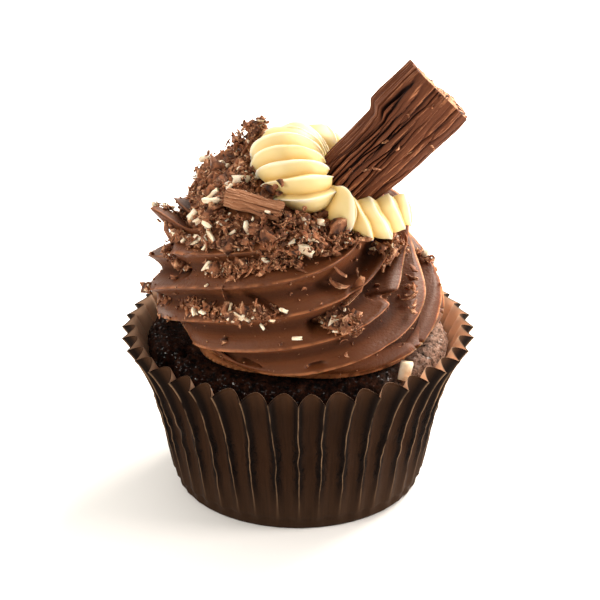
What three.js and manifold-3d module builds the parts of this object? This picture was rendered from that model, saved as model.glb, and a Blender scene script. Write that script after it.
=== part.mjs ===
// Chocolate cupcake in a pleated paper case: a dark sponge, a swirl of chocolate frosting piped
// with an open star nozzle and strewn with crumbs, a rope of vanilla frosting, a flaked stick of
// milk chocolate stuck in its middle and a broken piece of such a stick lying beside it.
// Millimetres, +Z up. The case stands on z = 0 with its centre at the origin, and the side that
// the vanilla rope and the stick show best faces -Y.
import * as THREE from "three";
import { mergeVertices } from "three/addons/utils/BufferGeometryUtils.js";
import Module from "manifold-3d";

const wasm = await Module();
wasm.setup();

const TURN = 2 * Math.PI;
const FRONT = -Math.PI / 2;
const GAP = 0.3;
const GOLDEN_ANGLE = 2.39996;

// Paper case: pleats with sharp outward creases and round flutes between them.
const CASE = { baseRadius: 26, heelRadius: 27, rimRadius: 38, height: 35.5, flare: 3.5,
  heelHeight: 2.4, pleats: 40, pleatDepthBase: 0.35, pleatDepthRim: 2.7, pleatGrowth: 1.1,
  wall: 0.7, rimWave: 1.5 };
// Share of a pleat at which its section is taken: crease, steep side, flute, steep side.
const PLEAT_STEPS = [0, 0.17, 0.5, 0.83];
const OUTER_LEVELS = [0.3, 0.6, 0.84, 1];
const INNER_LEVELS = [1, 0.7, 0.35];

// Sponge: fills the case and shows as a dark ring between the case and the frosting.
const SPONGE = { edgeHeight: 31.4, crownHeight: 35.6, crownRadius: 28, columns: 48,
  footInset: 1, levels: [0.09, 0.35, 0.6, 0.8, 1], dents: 0.3 };

// Chocolate frosting: a leaning dome with ridges that wind up round it like a coarse thread.
const FROSTING = { foot: SPONGE.crownHeight + GAP, footRadius: 29.4, radius: 32.4, height: 35.4,
  bulgeUpTo: 0.11, boxiness: 2.8, lean: -6.4, ridges: 8, ridgeDepth: [3.4, 4.6], columns: 48,
  footFade: [0, 3.5], axisFade: [2, 15] };
// Distance along the dome from one ridge to the next: at its foot, and how fast it grows upwards.
const SPACING = { atFoot: 5.5, growth: 0.21 };
// The ridges climb less steeply over the front than round the back, by these parts of a ridge.
const CLIMB = { atFront: 0.75, flatter: 0.11, skewed: 0.235 };
// Stretch on the left where the upper crests lie higher, above the widest band of the swirl, and
// the crests below that band lie lower.
const BAND = { angle: -3.05, spread: 0.6, higher: 2.2, from: [3, 4], to: [8, 6],
  lower: 2.3, lowerFrom: [0, 1.2], lowerTo: [3.4, 2.4] };
// Where the swirl as a whole draws in or bulges out: direction and its spread, distance along the
// dome and its spread, and how far it draws in. The foot draws in, most on the left, and the upper
// turn is smaller than the lower one on the right and on the left, where its rim juts out.
const HOLLOWED = [
  { angle: -3.1, spread: 0.5, length: 0, tall: 3, depth: 7 },
  { angle: -2.6, spread: 0.45, length: 4, tall: 4.5, depth: 5 },
  { angle: -3, spread: 0.4, length: 10.5, tall: 3, depth: 1.2 },
  { angle: -3.05, spread: 0.7, length: 21, tall: 4.2, depth: 3.4 },
  { angle: -3.05, spread: 0.35, length: 29, tall: 2.5, depth: -7 },
  { angle: -3, spread: 0.6, length: 33, tall: 9, depth: 5.5 },
  { angle: -3, spread: 0.5, length: 37, tall: 2.5, depth: 4.5 },
  { angle: -1.8, spread: 0.5, length: 0, tall: 2.4, depth: 2.6 },
  { angle: -0.15, spread: 0.6, length: 0, tall: 9, depth: 1.6 },
  { angle: -0.25, spread: 0.8, length: 19.6, tall: 6.2, depth: 4.2 },
  { angle: 0.15, spread: 0.35, length: 28.5, tall: 4.5, depth: -2.2 },
];
// Pockets where the hollow between two ridges is deeper: direction and its spread, the place
// between the ridges, counted from ridge 0, and its spread.
const POCKETS = [
  { angle: -0.42, spread: 0.2, ridge: 0.5, reach: 0.5, depth: 4.6 },
  { angle: -0.78, spread: 0.14, ridge: 1.45, reach: 0.4, depth: 2 },
  { angle: -0.12, spread: 0.32, ridge: -0.6, reach: 0.35, depth: 3.2 },
];
// Stretch at the front right where the ridges stand up as sheets, with deep hollows behind them,
// and one at the front left where the hollows are shallow.
const SHEETS = { angle: -0.5, spread: 0.7, deeper: 0.4, skew: 0.62 };
const SHALLOWS = { angle: -1.75, spread: 0.6, shallower: 0.5 };
// Elsewhere the ridges overhang, and the hollow lies just under the upper one.
const OVERHANG_SKEW = 2;
// The depth of the hollows swells and shrinks by this share, three times round the swirl.
const UNEVENNESS = 0.16;
// Share of a ridge at which its section is taken, from one crest up to the next.
const RIDGE_STEPS = [0, 0.36, 0.7, 0.88];
// Keeps a point that is meant to lie on a crest from being read as just below it.
const RIDGE_SLACK = 1e-9;
// The dome's profile stops this short of its axis, where it is closed by a fan.
const TOP_SLACK = 0.4;
const PROFILE_STEPS = 240;

// Pile of crumbs on top of the frosting, against the left side of the vanilla rope.
const HEAP = { centre: [-7.5, 6], radius: [7.5, 8], height: 6.2, rises: [0.62, 0.9] };
// Where the larger crumbs are strewn over the upper left, as seen from above.
const STREWN = { centre: [-10, -3], radius: [19, 17] };
// Where the mound fills the hollows between the ridges: its lower edge, as a distance along the
// dome, on the left and over the front, and the directions between which it fades at the back
// and on the right.
const COVER = { left: 33.5, front: 29.5, turns: [-2.4, -2.05], back: [-4.5, -3.9],
  right: [-0.5, -0.15], softEdge: [-1, 1.4], fills: 0.85 };
const CRUMBS = { seed: 11, onHeap: 54, onLedges: 14, small: 1.8, large: 5.2, mostlySmall: 1.6,
  proud: 0.12, ledges: [4, 3, 2], ledgeShare: 0.22, ledgeSpan: [-1.7, 1.1], lowest: 6,
  clearOfTop: 1 };

// Vanilla rope. Each row is the edge of a fold: its centre, its radius and the way it faces. The
// tail lies across the front of the stick, and the coil climbs on its left and ends behind it.
const ROPE_TAIL = [
  [[23.6, -5.2, 61.6], 2, [-0.91, -0.1, 0.15]],
  [[22.8, -6.4, 64.4], 3.4, [-0.92, -0.1, -0.15]],
  [[20.4, -8.6, 65], 4.1, [-0.9, -0.15, -0.4]],
  [[17, -11, 64.6], 4.9, [-0.88, -0.2, -0.42]],
  [[13.1, -13, 65.3], 5.2, [-0.9, -0.25, -0.36]],
  [[9, -14, 67.6], 4.8, [-0.8, -0.55, 0.1]],
  [[5.3, -13.2, 68.3], 4.2, [-0.8, -0.1, 0.3]],
];
const ROPE_COIL = [
  [[3.2, -12.4, 67.2], 4.6, [-0.14, -0.15, 0.97]],
  [[1.6, -11.2, 70.2], 6.9, [-0.14, 0.17, 0.97]],
  [[-0.2, -10, 72.2], 7.5, [-0.12, 0.45, 0.88]],
  [[-1, -7.5, 73.2], 7.5, [-0.04, 0.64, 0.77]],
  [[-1.9, -4.5, 73.6], 7.8, [0.03, 0.8, 0.6]],
  [[-2.2, -1, 74.2], 7.7, [0.05, 0.87, 0.48]],
  [[-1, 3, 74.2], 7, [0.25, 0.86, 0.42]],
  [[1.7, 7, 73], 6.2, [0.6, 0.75, 0.2]],
  [[5.6, 9.5, 71.8], 5.4, [0.85, 0.5, -0.1]],
  [[9.4, 10.2, 70.4], 4, [0.95, 0.2, -0.3]],
];
// Share of a fold at which its groove lies: just before the next edge in the tail, and just
// after its own edge in the coil.
const ROPE = { tailGroove: 0.82, coilGroove: 0.18, grooveDepth: 0.22, sides: 18, endSize: 0.55,
  sideways: [0.3, -0.6, 0.7] };

// Flaked stick: from deep in the frosting to its broken upper end.
const STICK = { from: [5.9, -4.6, 65.1], to: [28.8, 2, 87.8], width: 16.8, depth: 12.6,
  folds: 9, foldDepth: 0.5, sides: 26, rings: 8, shoulder: 0.65, shoulderStep: 1.7, taper: 2.6 };
// Broken piece of a stick that lies on the crumbs.
const PIECE = { from: [-14.4, -14.8, 70.8], to: [-3.2, -19, 69], width: 3.9, depth: 3.3,
  folds: 5, foldDepth: 0.32, sides: 12, rings: 4, shoulder: 0, shoulderStep: 0, taper: 0 };
const BAR = { squareness: 3, foldSway: 1.3, raggedEnd: 0.5, shoulderSide: -0.3,
  taperUpTo: 0.9, taperSide: 0.5 };

const COLOURS = { paper: 0x33241b, sponge: 0x20130d, chocolate: 0x5b3322, vanilla: 0xf0dc9a,
  flake: 0x4f2c1c };

// ---------- small helpers ----------

const clamp = (value, low, high) => Math.min(high, Math.max(low, value));
const mix = (a, b, share) => a + (b - a) * share;
function smoothstep(low, high, value) {
  const share = clamp((value - low) / (high - low), 0, 1);
  return share * share * (3 - 2 * share);
}

const bell = (value) => Math.exp(-value * value);

// Repeatable random numbers between 0 and 1.
function randomSource(seed) {
  let state = seed;
  return () => {
    state = (state * 1664525 + 1013904223) % 4294967296;
    return state / 4294967296;
  };
}

// A closed solid from rings of points, listed from its lower cap to its upper cap, each ring
// counter-clockwise about the way up. Points that fall together are merged. A ring that doesn't
// come back to its own first point, as on a thread, is given with the point after its last.
function solidFromRings(rings, closed = true) {
  const count = rings[0].length;
  const columns = closed ? count : count - 1;
  const capCentre = (ring) => ring.reduce((sum, point) => sum.add(point), new THREE.Vector3())
    .divideScalar(count);
  const points = [...rings.flat(), capCentre(rings[0]), capCentre(rings.at(-1))];
  const lowerCap = points.length - 2;
  const upperCap = points.length - 1;
  const faces = [];
  for (let row = 0; row < rings.length - 1; row += 1) {
    for (let column = 0; column < columns; column += 1) {
      const next = (column + 1) % count;
      const [a, b] = [row * count + column, row * count + next];
      faces.push(a, b, b + count, a, b + count, a + count);
    }
  }
  const lastRow = (rings.length - 1) * count;
  for (let column = 0; column < columns; column += 1) {
    const next = (column + 1) % count;
    faces.push(lowerCap, next, column);
    faces.push(upperCap, lastRow + column, lastRow + next);
  }
  const geometry = new THREE.BufferGeometry().setFromPoints(points);
  geometry.setIndex(faces);
  return withoutSlivers(geometry);
}

function withoutSlivers(geometry) {
  const merged = mergeVertices(geometry, 1e-3);
  const index = merged.getIndex().array;
  const kept = [];
  for (let i = 0; i < index.length; i += 3) {
    const [a, b, c] = [index[i], index[i + 1], index[i + 2]];
    if (a !== b && b !== c && c !== a) kept.push(a, b, c);
  }
  merged.setIndex(kept);
  return merged;
}

function toManifold(geometry) {
  const bare = geometry.clone();
  bare.deleteAttribute("normal");
  bare.deleteAttribute("uv");
  const merged = withoutSlivers(bare);
  return new wasm.Manifold(new wasm.Mesh({
    numProp: 3,
    vertProperties: new Float32Array(merged.getAttribute("position").array),
    triVerts: new Uint32Array(merged.getIndex().array),
  }));
}

// The largest closed body of a manifold, as a geometry: scraps that a cut leaves are dropped.
function largestBody(manifold) {
  const bodies = manifold.decompose();
  bodies.sort((a, b) => b.volume() - a.volume());
  const mesh = bodies[0].getMesh();
  const geometry = new THREE.BufferGeometry();
  geometry.setAttribute("position", new THREE.BufferAttribute(mesh.vertProperties, 3));
  geometry.setIndex(new THREE.BufferAttribute(mesh.triVerts, 1));
  return geometry;
}

function namedMesh(name, geometry, color, roughness) {
  geometry.computeVertexNormals();
  const material = new THREE.MeshStandardMaterial({ color, roughness, metalness: 0 });
  const mesh = new THREE.Mesh(geometry, material);
  mesh.name = name;
  return mesh;
}

// ---------- paper case ----------

// Radius of the outward creases: a straight slope that flares towards the rim.
function creaseRadius(height) {
  const share = height / CASE.height;
  const slope = CASE.rimRadius - CASE.flare - CASE.heelRadius;
  return CASE.heelRadius + slope * share + CASE.flare * share ** 5;
}

function pleatDepth(height) {
  return mix(CASE.pleatDepthBase, CASE.pleatDepthRim, (height / CASE.height) ** CASE.pleatGrowth);
}

// 1 on a crease and 0 in the middle of a flute.
const crease = (share) => 1 - Math.sin(Math.PI * share) ** 0.8;

function caseRing(height, radiusAt) {
  const ring = [];
  for (let pleat = 0; pleat < CASE.pleats; pleat += 1) {
    for (const share of PLEAT_STEPS) {
      const angle = TURN * (pleat + share) / CASE.pleats;
      const radius = radiusAt(crease(share));
      const wave = CASE.rimWave * (height / CASE.height) ** 6 * (0.5 - crease(share));
      ring.push(new THREE.Vector3(radius * Math.cos(angle), radius * Math.sin(angle),
        height + wave));
    }
  }
  return ring;
}

function paperCase() {
  const wallRing = (height, inset) => caseRing(height,
    (out) => creaseRadius(height) - inset - pleatDepth(height) * (1 - out));
  return solidFromRings([
    caseRing(0, () => CASE.baseRadius),
    wallRing(CASE.heelHeight, 0),
    ...OUTER_LEVELS.map((level) => wallRing(level * CASE.height, 0)),
    ...INNER_LEVELS.map((level) => wallRing(level * CASE.height, CASE.wall)),
    wallRing(CASE.heelHeight, CASE.wall),
    caseRing(CASE.wall, () => CASE.baseRadius - CASE.wall),
  ]);
}

// ---------- sponge ----------

// Radius that stays clear of the flutes' inner side.
const spongeRadius = (height) => creaseRadius(height) - pleatDepth(height) - CASE.wall - GAP;

function sponge() {
  const { edgeHeight, crownHeight, crownRadius, columns, footInset, levels, dents } = SPONGE;
  const floor = CASE.wall + GAP;
  const sections = [[CASE.baseRadius - CASE.wall - 2 * GAP - footInset, floor]];
  for (const share of levels) {
    const height = share * edgeHeight;
    sections.push([spongeRadius(height), height]);
  }
  const edgeRadius = spongeRadius(edgeHeight);
  sections.push([mix(edgeRadius, crownRadius, 0.25), mix(edgeHeight, crownHeight, 0.6)]);
  sections.push([crownRadius + 1.2, crownHeight - 0.25]);
  sections.push([crownRadius - 1, crownHeight]);
  return solidFromRings(sections.map(([radius, height], level) => {
    const ring = [];
    for (let column = 0; column < columns; column += 1) {
      const angle = TURN * column / columns;
      const onSlope = level > levels.length && level < sections.length - 1;
      const dent = onSlope ? dents * Math.max(0, Math.sin(7.3 * column + 2.1 * level)) : 0;
      ring.push(new THREE.Vector3(radius * Math.cos(angle), radius * Math.sin(angle),
        height - dent));
    }
    return ring;
  }));
}

// ---------- chocolate frosting ----------

// The dome's profile, as points with their distance along it, from its foot to its top.
const profile = [];
{
  const { foot, footRadius, radius, height, boxiness } = FROSTING;
  let length = 0;
  for (let step = 0; step <= PROFILE_STEPS; step += 1) {
    const share = Math.sin(Math.PI / 2 * step / PROFILE_STEPS);
    const bulge = smoothstep(0, FROSTING.bulgeUpTo, share);
    const r = mix(footRadius, radius, bulge) * Math.sqrt(Math.max(0, 1 - share ** boxiness));
    const z = foot + height * share;
    if (step > 0) length += Math.hypot(r - profile.at(-1).r, z - profile.at(-1).z);
    profile.push({ r, z, length });
  }
}
const profileLength = profile.at(-1).length;

function profileAt(length) {
  const upper = clamp(profile.findIndex((point) => point.length >= length), 1,
    profile.length - 1);
  const [a, b] = [profile[upper - 1], profile[upper]];
  const share = clamp((length - a.length) / (b.length - a.length), 0, 1);
  const tangent = Math.hypot(b.r - a.r, b.z - a.z);
  return { r: mix(a.r, b.r, share), z: mix(a.z, b.z, share),
    outR: (b.z - a.z) / tangent, outZ: (a.r - b.r) / tangent };
}

// How many ridges above the foot ridge 0 has climbed in the given direction.
function climbed(angle) {
  const fromFront = angle - FRONT;
  return CLIMB.atFront + CLIMB.flatter * (1 - Math.cos(2 * fromFront))
    - CLIMB.skewed * Math.sin(2 * fromFront) + FROSTING.ridges * fromFront / TURN;
}

// Distance along the profile at a height counted in ridges, and the other way round.
const lengthAt = (count) => count * (SPACING.atFoot + SPACING.growth * Math.abs(count));
const ridgesAt = (length) => (Math.sqrt(SPACING.atFoot ** 2 + 4 * SPACING.growth * length)
  - SPACING.atFoot) / (2 * SPACING.growth);

function wideBand(angle, count) {
  const higher = BAND.higher * smoothstep(...BAND.from, count) * smoothstep(...BAND.to, count);
  const lower = BAND.lower * smoothstep(...BAND.lowerFrom, count)
    * smoothstep(...BAND.lowerTo, count);
  return (higher - lower) * bell((angle - BAND.angle) / BAND.spread);
}

// 0 on a crest, 1 at the bottom of the hollow between two crests. The skew sets how near to the
// upper crest that bottom lies.
const hollow = (share, skew) => Math.sin(Math.PI * share ** skew) ** 0.85;

function heapHeight(x, y) {
  const across = (x - HEAP.centre[0]) / HEAP.radius[0];
  const along = (y - HEAP.centre[1]) / HEAP.radius[1];
  return HEAP.height * (1 - smoothstep(0.25, 1, Math.hypot(across, along)));
}

// 1 where the mound of crumbs fills the hollows between the ridges, 0 on bare frosting.
function covered(angle, length) {
  const lowerEdge = mix(COVER.left, COVER.front, smoothstep(...COVER.turns, angle));
  const ends = smoothstep(...COVER.back, angle) * (1 - smoothstep(...COVER.right, angle));
  return smoothstep(...COVER.softEdge, length - lowerEdge) * ends;
}

function hollowed(angle, length) {
  return HOLLOWED.reduce((sum, place) => sum + place.depth
    * bell((angle - place.angle) / place.spread) * bell((length - place.length) / place.tall), 0);
}

function pocket(angle, ridge) {
  return POCKETS.reduce((sum, place) => sum + place.depth
    * bell((angle - place.angle) / place.spread) * bell((ridge - place.ridge) / place.reach), 0);
}

// A point of the frosting in a direction and at a height counted in ridges.
function frostingPoint(angle, count) {
  const length = clamp(lengthAt(count) + wideBand(angle, count), 0, profileLength - TOP_SLACK);
  const at = profileAt(length);
  const ridge = count - climbed(angle) + RIDGE_SLACK;
  const depth = mix(...FROSTING.ridgeDepth, length / profileLength);
  const fade = smoothstep(...FROSTING.footFade, length) * smoothstep(...FROSTING.axisFade, at.r);
  const sheet = bell((angle - SHEETS.angle) / SHEETS.spread);
  const uneven = 1 + UNEVENNESS * Math.sin(3 * angle + length / 5) + SHEETS.deeper * sheet
    - SHALLOWS.shallower * bell((angle - SHALLOWS.angle) / SHALLOWS.spread);
  const dip = hollow(ridge - Math.floor(ridge), mix(OVERHANG_SKEW, SHEETS.skew, sheet))
    * (1 - COVER.fills * covered(angle, length));
  const inward = (depth * fade * uneven + pocket(angle, ridge)) * dip + hollowed(angle, length);
  const height = (at.z - FROSTING.foot) / FROSTING.height;
  const r = at.r - inward * at.outR;
  const x = r * Math.cos(angle) + FROSTING.lean * height ** 1.5;
  const y = r * Math.sin(angle);
  const top = smoothstep(...HEAP.rises, height);
  return new THREE.Vector3(x, y, at.z - inward * at.outZ + top * heapHeight(x, y));
}

// Rings that follow the ridges, so that each crest is an edge of the solid.
function frosting() {
  const { columns, ridges } = FROSTING;
  const steps = RIDGE_STEPS.length;
  const highestCount = ridgesAt(profileLength);
  const rings = [];
  for (let step = -ridges * steps; step <= Math.ceil(highestCount + ridges) * steps; step += 1) {
    const ridge = Math.floor(step / steps);
    const share = RIDGE_STEPS[step - ridge * steps];
    rings.push(Array.from({ length: columns + 1 }, (_, column) => {
      const angle = FRONT + TURN * ((column % columns) / columns - 0.5);
      const wholeTurn = column === columns ? ridges : 0;
      return frostingPoint(angle, clamp(climbed(angle) + wholeTurn + ridge + share, 0,
        highestCount));
    }));
  }
  return solidFromRings(rings, false);
}

// ---------- vanilla rope ----------

// A tube whose folds have their edges on the given rows, with one groove between two edges. It
// can be made larger all round, as the room that its neighbours leave for it.
function foldedRope(edges, grooveAt, proud) {
  const curve = new THREE.CatmullRomCurve3(edges.map(([centre]) => new THREE.Vector3(...centre)),
    false, "catmullrom", 0.5);
  const last = edges.length - 1;
  const sideways = new THREE.Vector3(...ROPE.sideways);
  const rings = [];
  for (let fold = 0; fold < last; fold += 1) {
    const [, radius, facing] = edges[fold];
    const [, nextRadius, nextFacing] = edges[fold + 1];
    const sections = [[0, 1], [grooveAt, 1 - ROPE.grooveDepth], [0.5, 1 - ROPE.grooveDepth / 3]]
      .sort((one, other) => one[0] - other[0]);
    if (fold === last - 1) sections.push([1, 1]);
    for (const [share, size] of sections) {
      const ahead = new THREE.Vector3(...facing)
        .lerp(new THREE.Vector3(...nextFacing), share).normalize();
      const side = new THREE.Vector3().crossVectors(ahead, sideways).normalize();
      const above = new THREE.Vector3().crossVectors(side, ahead);
      const centre = curve.getPoint((fold + share) / last);
      const end = (fold + share === last) - (fold + share === 0);
      centre.addScaledVector(ahead, end * proud);
      const r = mix(radius, nextRadius, share) * size * (end ? ROPE.endSize : 1) + proud;
      rings.push(Array.from({ length: ROPE.sides }, (_, corner) => {
        const angle = -TURN * corner / ROPE.sides;
        return centre.clone()
          .addScaledVector(above, r * Math.sin(angle))
          .addScaledVector(side, r * Math.cos(angle));
      }));
    }
  }
  return toManifold(solidFromRings(rings));
}

function vanillaRope(proud = 0) {
  return foldedRope(ROPE_TAIL, ROPE.tailGroove, proud)
    .add(foldedRope(ROPE_COIL, ROPE.coilGroove, proud));
}

// ---------- flaked sticks ----------

// A bar of folded chocolate: a rounded rectangle with grooves that run along it. Below its
// shoulder the bar is narrower on one side, and it tapers downwards on the other. It can be made
// larger all round too.
function flakedBar(bar, proud = 0) {
  const foot = new THREE.Vector3(...bar.from);
  const tip = new THREE.Vector3(...bar.to);
  const ahead = tip.clone().sub(foot).normalize();
  const across = new THREE.Vector3(ahead.z, 0, -ahead.x).normalize();
  const deep = new THREE.Vector3().crossVectors(ahead, across);
  const rings = [];
  for (let row = 0; row <= bar.rings; row += 1) {
    const share = row / bar.rings;
    const centre = foot.clone().lerp(tip, share);
    const beyond = (row === 0 ? -proud : 0) + (row === bar.rings ? proud : 0);
    centre.addScaledVector(ahead, beyond);
    rings.push(Array.from({ length: bar.sides }, (_, corner) => {
      const angle = TURN * corner / bar.sides;
      const [c, s] = [Math.cos(angle), Math.sin(angle)];
      const sway = BAR.foldSway * Math.sin(3 * share);
      const fold = bar.foldDepth * Math.sin(bar.folds * angle + sway);
      const boxy = (Math.abs(c) ** BAR.squareness + Math.abs(s) ** BAR.squareness)
        ** (-1 / BAR.squareness);
      const wide = bar.width / 2 * boxy + fold + proud;
      const thick = bar.depth / 2 * boxy + fold + proud;
      const step = c < BAR.shoulderSide && share < bar.shoulder ? bar.shoulderStep : 0;
      const tapered = bar.taper * (1 - smoothstep(0, BAR.taperUpTo, share))
        * smoothstep(0, BAR.taperSide, c);
      const broken = row === bar.rings ? BAR.raggedEnd * Math.sin(2 * angle + 1) : 0;
      return centre.clone()
        .addScaledVector(across, (wide - step - tapered) * c)
        .addScaledVector(deep, thick * s)
        .addScaledVector(ahead, broken);
    }));
  }
  return solidFromRings(rings);
}

// ---------- crumbs ----------

// A crumb: an icosahedron with its corners pushed about and its sides of unlike length.
function crumb(centre, size, random) {
  const geometry = withoutSlivers(
    new THREE.IcosahedronGeometry(size / 2, 0).deleteAttribute("normal").deleteAttribute("uv"));
  const position = geometry.getAttribute("position");
  const drawn = (low, high) => mix(low, high, random());
  const stretch = new THREE.Vector3(drawn(0.7, 1.4), drawn(0.6, 1.1), drawn(0.6, 1));
  const turn = new THREE.Euler(drawn(0, TURN), drawn(0, TURN), drawn(0, TURN));
  for (let i = 0; i < position.count; i += 1) {
    const corner = new THREE.Vector3().fromBufferAttribute(position, i);
    corner.multiply(stretch).multiplyScalar(drawn(0.8, 1.2));
    corner.applyEuler(turn).add(centre);
    position.setXYZ(i, corner.x, corner.y, corner.z);
  }
  return geometry;
}

// Where crumbs lie: a direction and a height counted in ridges.
function crumbPlaces(random) {
  const places = [];
  const { onHeap, onLedges, ledges, ledgeShare } = CRUMBS;
  for (let i = 0; i < onHeap; i += 1) {
    const spread = Math.sqrt((i + 0.5) / onHeap);
    const bearing = i * GOLDEN_ANGLE + random();
    const x = STREWN.centre[0] + STREWN.radius[0] * spread * Math.cos(bearing);
    const y = STREWN.centre[1] + STREWN.radius[1] * spread * Math.sin(bearing);
    places.push({ angle: Math.atan2(y, x), count: ridgesAt(lengthAtReach(Math.hypot(x, y))) });
  }
  for (let i = 0; i < onLedges; i += 1) {
    const angle = FRONT + mix(...CRUMBS.ledgeSpan, (i + random()) / onLedges);
    places.push({ angle, count: climbed(angle) + ledges[i % ledges.length] + ledgeShare });
  }
  return places;
}

// Distance along the profile at which the frosting is as far from the middle as asked.
function lengthAtReach(reach) {
  const point = profile.findLast((entry) => entry.r >= reach);
  return point ? point.length : profileLength;
}

function crumbs(clearOf) {
  const random = randomSource(CRUMBS.seed);
  const solids = [];
  for (const { angle, count } of crumbPlaces(random)) {
    const size = mix(CRUMBS.small, CRUMBS.large, random() ** CRUMBS.mostlySmall);
    const length = lengthAt(count);
    if (length < CRUMBS.lowest || length > profileLength - CRUMBS.clearOfTop) continue;
    const centre = frostingPoint(angle, count);
    const outward = new THREE.Vector3(Math.cos(angle), Math.sin(angle), 1).normalize();
    centre.addScaledVector(outward, CRUMBS.proud * size);
    const solid = toManifold(crumb(centre, size, random));
    if (clearOf.every((other) => solid.intersect(other).isEmpty())) solids.push(solid);
  }
  return solids;
}

// ---------- the whole ----------

const clearances = [vanillaRope(GAP), toManifold(flakedBar(STICK, GAP)),
  toManifold(flakedBar(PIECE, GAP))];
const [, aroundStick, aroundPiece] = clearances;

let frostingBody = toManifold(frosting());
for (const solid of crumbs(clearances)) frostingBody = frostingBody.add(solid);
for (const clearance of clearances) frostingBody = frostingBody.subtract(clearance);
const ropeBody = vanillaRope().subtract(aroundStick).subtract(aroundPiece);

const cupcake = new THREE.Group();
cupcake.add(
  namedMesh("paper_case", paperCase(), COLOURS.paper, 0.75),
  namedMesh("sponge", sponge(), COLOURS.sponge, 0.95),
  namedMesh("chocolate_frosting", largestBody(frostingBody), COLOURS.chocolate, 0.5),
  namedMesh("vanilla_frosting", largestBody(ropeBody), COLOURS.vanilla, 0.5),
  namedMesh("flaked_stick", flakedBar(STICK), COLOURS.flake, 0.6),
  namedMesh("flaked_piece", flakedBar(PIECE), COLOURS.flake, 0.6),
);

export default cupcake;
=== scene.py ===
# %% [markdown]
# # A chocolate cupcake in its pleated case
#
# The cupcake comes as plain solids that were made with CAD: a paper case, the sponge, two
# frostings, a stick of flaked chocolate and a broken piece of one. This lesson keeps their
# places and sizes, and gives each a fine mesh and a finish of its own. Nothing is pushed about
# by hand. Each surface starts as a flat grid, and a rule written in millimetres bends it into
# place, so every shape can be read, understood and changed.

import bisect
import math
import random

import bmesh
import bpy
from mathutils import Matrix, Vector, noise
from mathutils.bvhtree import BVHTree


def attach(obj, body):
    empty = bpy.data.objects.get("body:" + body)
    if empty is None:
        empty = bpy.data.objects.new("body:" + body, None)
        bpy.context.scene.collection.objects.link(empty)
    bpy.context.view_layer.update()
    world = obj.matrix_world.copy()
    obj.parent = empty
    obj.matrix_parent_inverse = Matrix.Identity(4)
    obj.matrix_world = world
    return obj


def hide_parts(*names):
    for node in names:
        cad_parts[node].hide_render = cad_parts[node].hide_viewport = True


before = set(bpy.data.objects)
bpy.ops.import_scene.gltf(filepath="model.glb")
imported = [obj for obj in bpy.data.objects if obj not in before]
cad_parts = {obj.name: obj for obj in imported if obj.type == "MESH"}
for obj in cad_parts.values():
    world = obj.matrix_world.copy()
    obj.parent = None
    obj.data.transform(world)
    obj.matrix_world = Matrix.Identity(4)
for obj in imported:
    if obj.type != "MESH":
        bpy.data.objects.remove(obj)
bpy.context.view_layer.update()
print("solids:", ", ".join(sorted(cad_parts)))

# %% [markdown]
# ## Small tools for the shapes
#
# The rules need a few soft switches: a blend between two values, a step without corners, a bell
# that is one in the middle and fades away, and noise whose lumps have a size in millimetres.

# %% Soft switches
MM = 0.001
TURN = 2 * math.pi
FRONT = -math.pi / 2


def mix(a, b, share):
    return a + (b - a) * share


def clamp(value, low, high):
    return min(high, max(low, value))


def smoothstep(low, high, value):
    share = clamp((value - low) / (high - low), 0, 1)
    return share * share * (3 - 2 * share)


def bell(value):
    return math.exp(-value * value)


def lumps(place, size, seed=0):
    """Smooth noise between about -1 and 1, with lumps of the given size in millimetres."""
    return noise.noise(place / size + Vector((17.3 * seed, 5.1 * seed, 0)))


print("half way up a soft step:", smoothstep(0, 2, 1))

# %% [markdown]
# A grid is the easiest surface to bend: `create_grid` makes it, with a UV map that later tells
# the materials where along and across the piece they are. The rule gets the two shares `u` and
# `v` of every grid point and answers with its place and how much it stands out: 1 on an edge, 0
# in a hollow. That number is kept with the point, because worn edges and dark hollows take
# their colour from it. A closed piece then has its seam merged and its ends filled.

# %% A grid that a rule bends
STANDS_OUT = "stands_out"
UV_NAME = "UVMap"


def bent_grid(columns, rows, rule):
    bm = bmesh.new()
    bm.loops.layers.uv.new(UV_NAME)
    stands_out = bm.verts.layers.float.new(STANDS_OUT)
    bmesh.ops.create_grid(bm, x_segments=columns, y_segments=rows, size=0.5, calc_uvs=True)
    for vert in bm.verts:
        place, height = rule(vert.co.x + 0.5, vert.co.y + 0.5)
        vert.co = place * MM
        vert[stands_out] = height
    return bm


def close_up(bm):
    """Merges what coincides, fills the open ends with fans and turns every face outwards."""
    bmesh.ops.remove_doubles(bm, verts=bm.verts[:], dist=0.0002 * MM)
    rims = [edge for edge in bm.edges if edge.is_boundary]
    lids = bmesh.ops.holes_fill(bm, edges=rims)["faces"]
    bmesh.ops.poke(bm, faces=lids)
    bmesh.ops.recalc_face_normals(bm, faces=bm.faces[:])


print("each grid point keeps the number:", STANDS_OUT)

# %% [markdown]
# Every piece ends the same way: it becomes an object, gets its finish, rides on the cupcake's only
# body, and may stand for one of the plain solids. Its surface is also kept as a search tree, so
# that crumbs can later fall on it.

# %% From a mesh to a piece of the cupcake
surfaces = {}
print("pieces so far:", len(surfaces))


def piece(name, bm, material, slot, *solids):
    surfaces[name] = BVHTree.FromBMesh(bm)
    mesh = bpy.data.meshes.new(name)
    bm.to_mesh(mesh)
    bm.free()
    mesh.shade_smooth()
    mesh.materials.append(material)
    made = bpy.data.objects.new(name, mesh)
    bpy.context.scene.collection.objects.link(made)
    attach(made, "root")
    if solids:
        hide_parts(*solids)
    sides = [side / MM for side in made.dimensions]
    print(f"{name}: {len(mesh.polygons)} faces, {sides[0]:.1f} x {sides[1]:.1f} x {sides[2]:.1f} mm")


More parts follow.
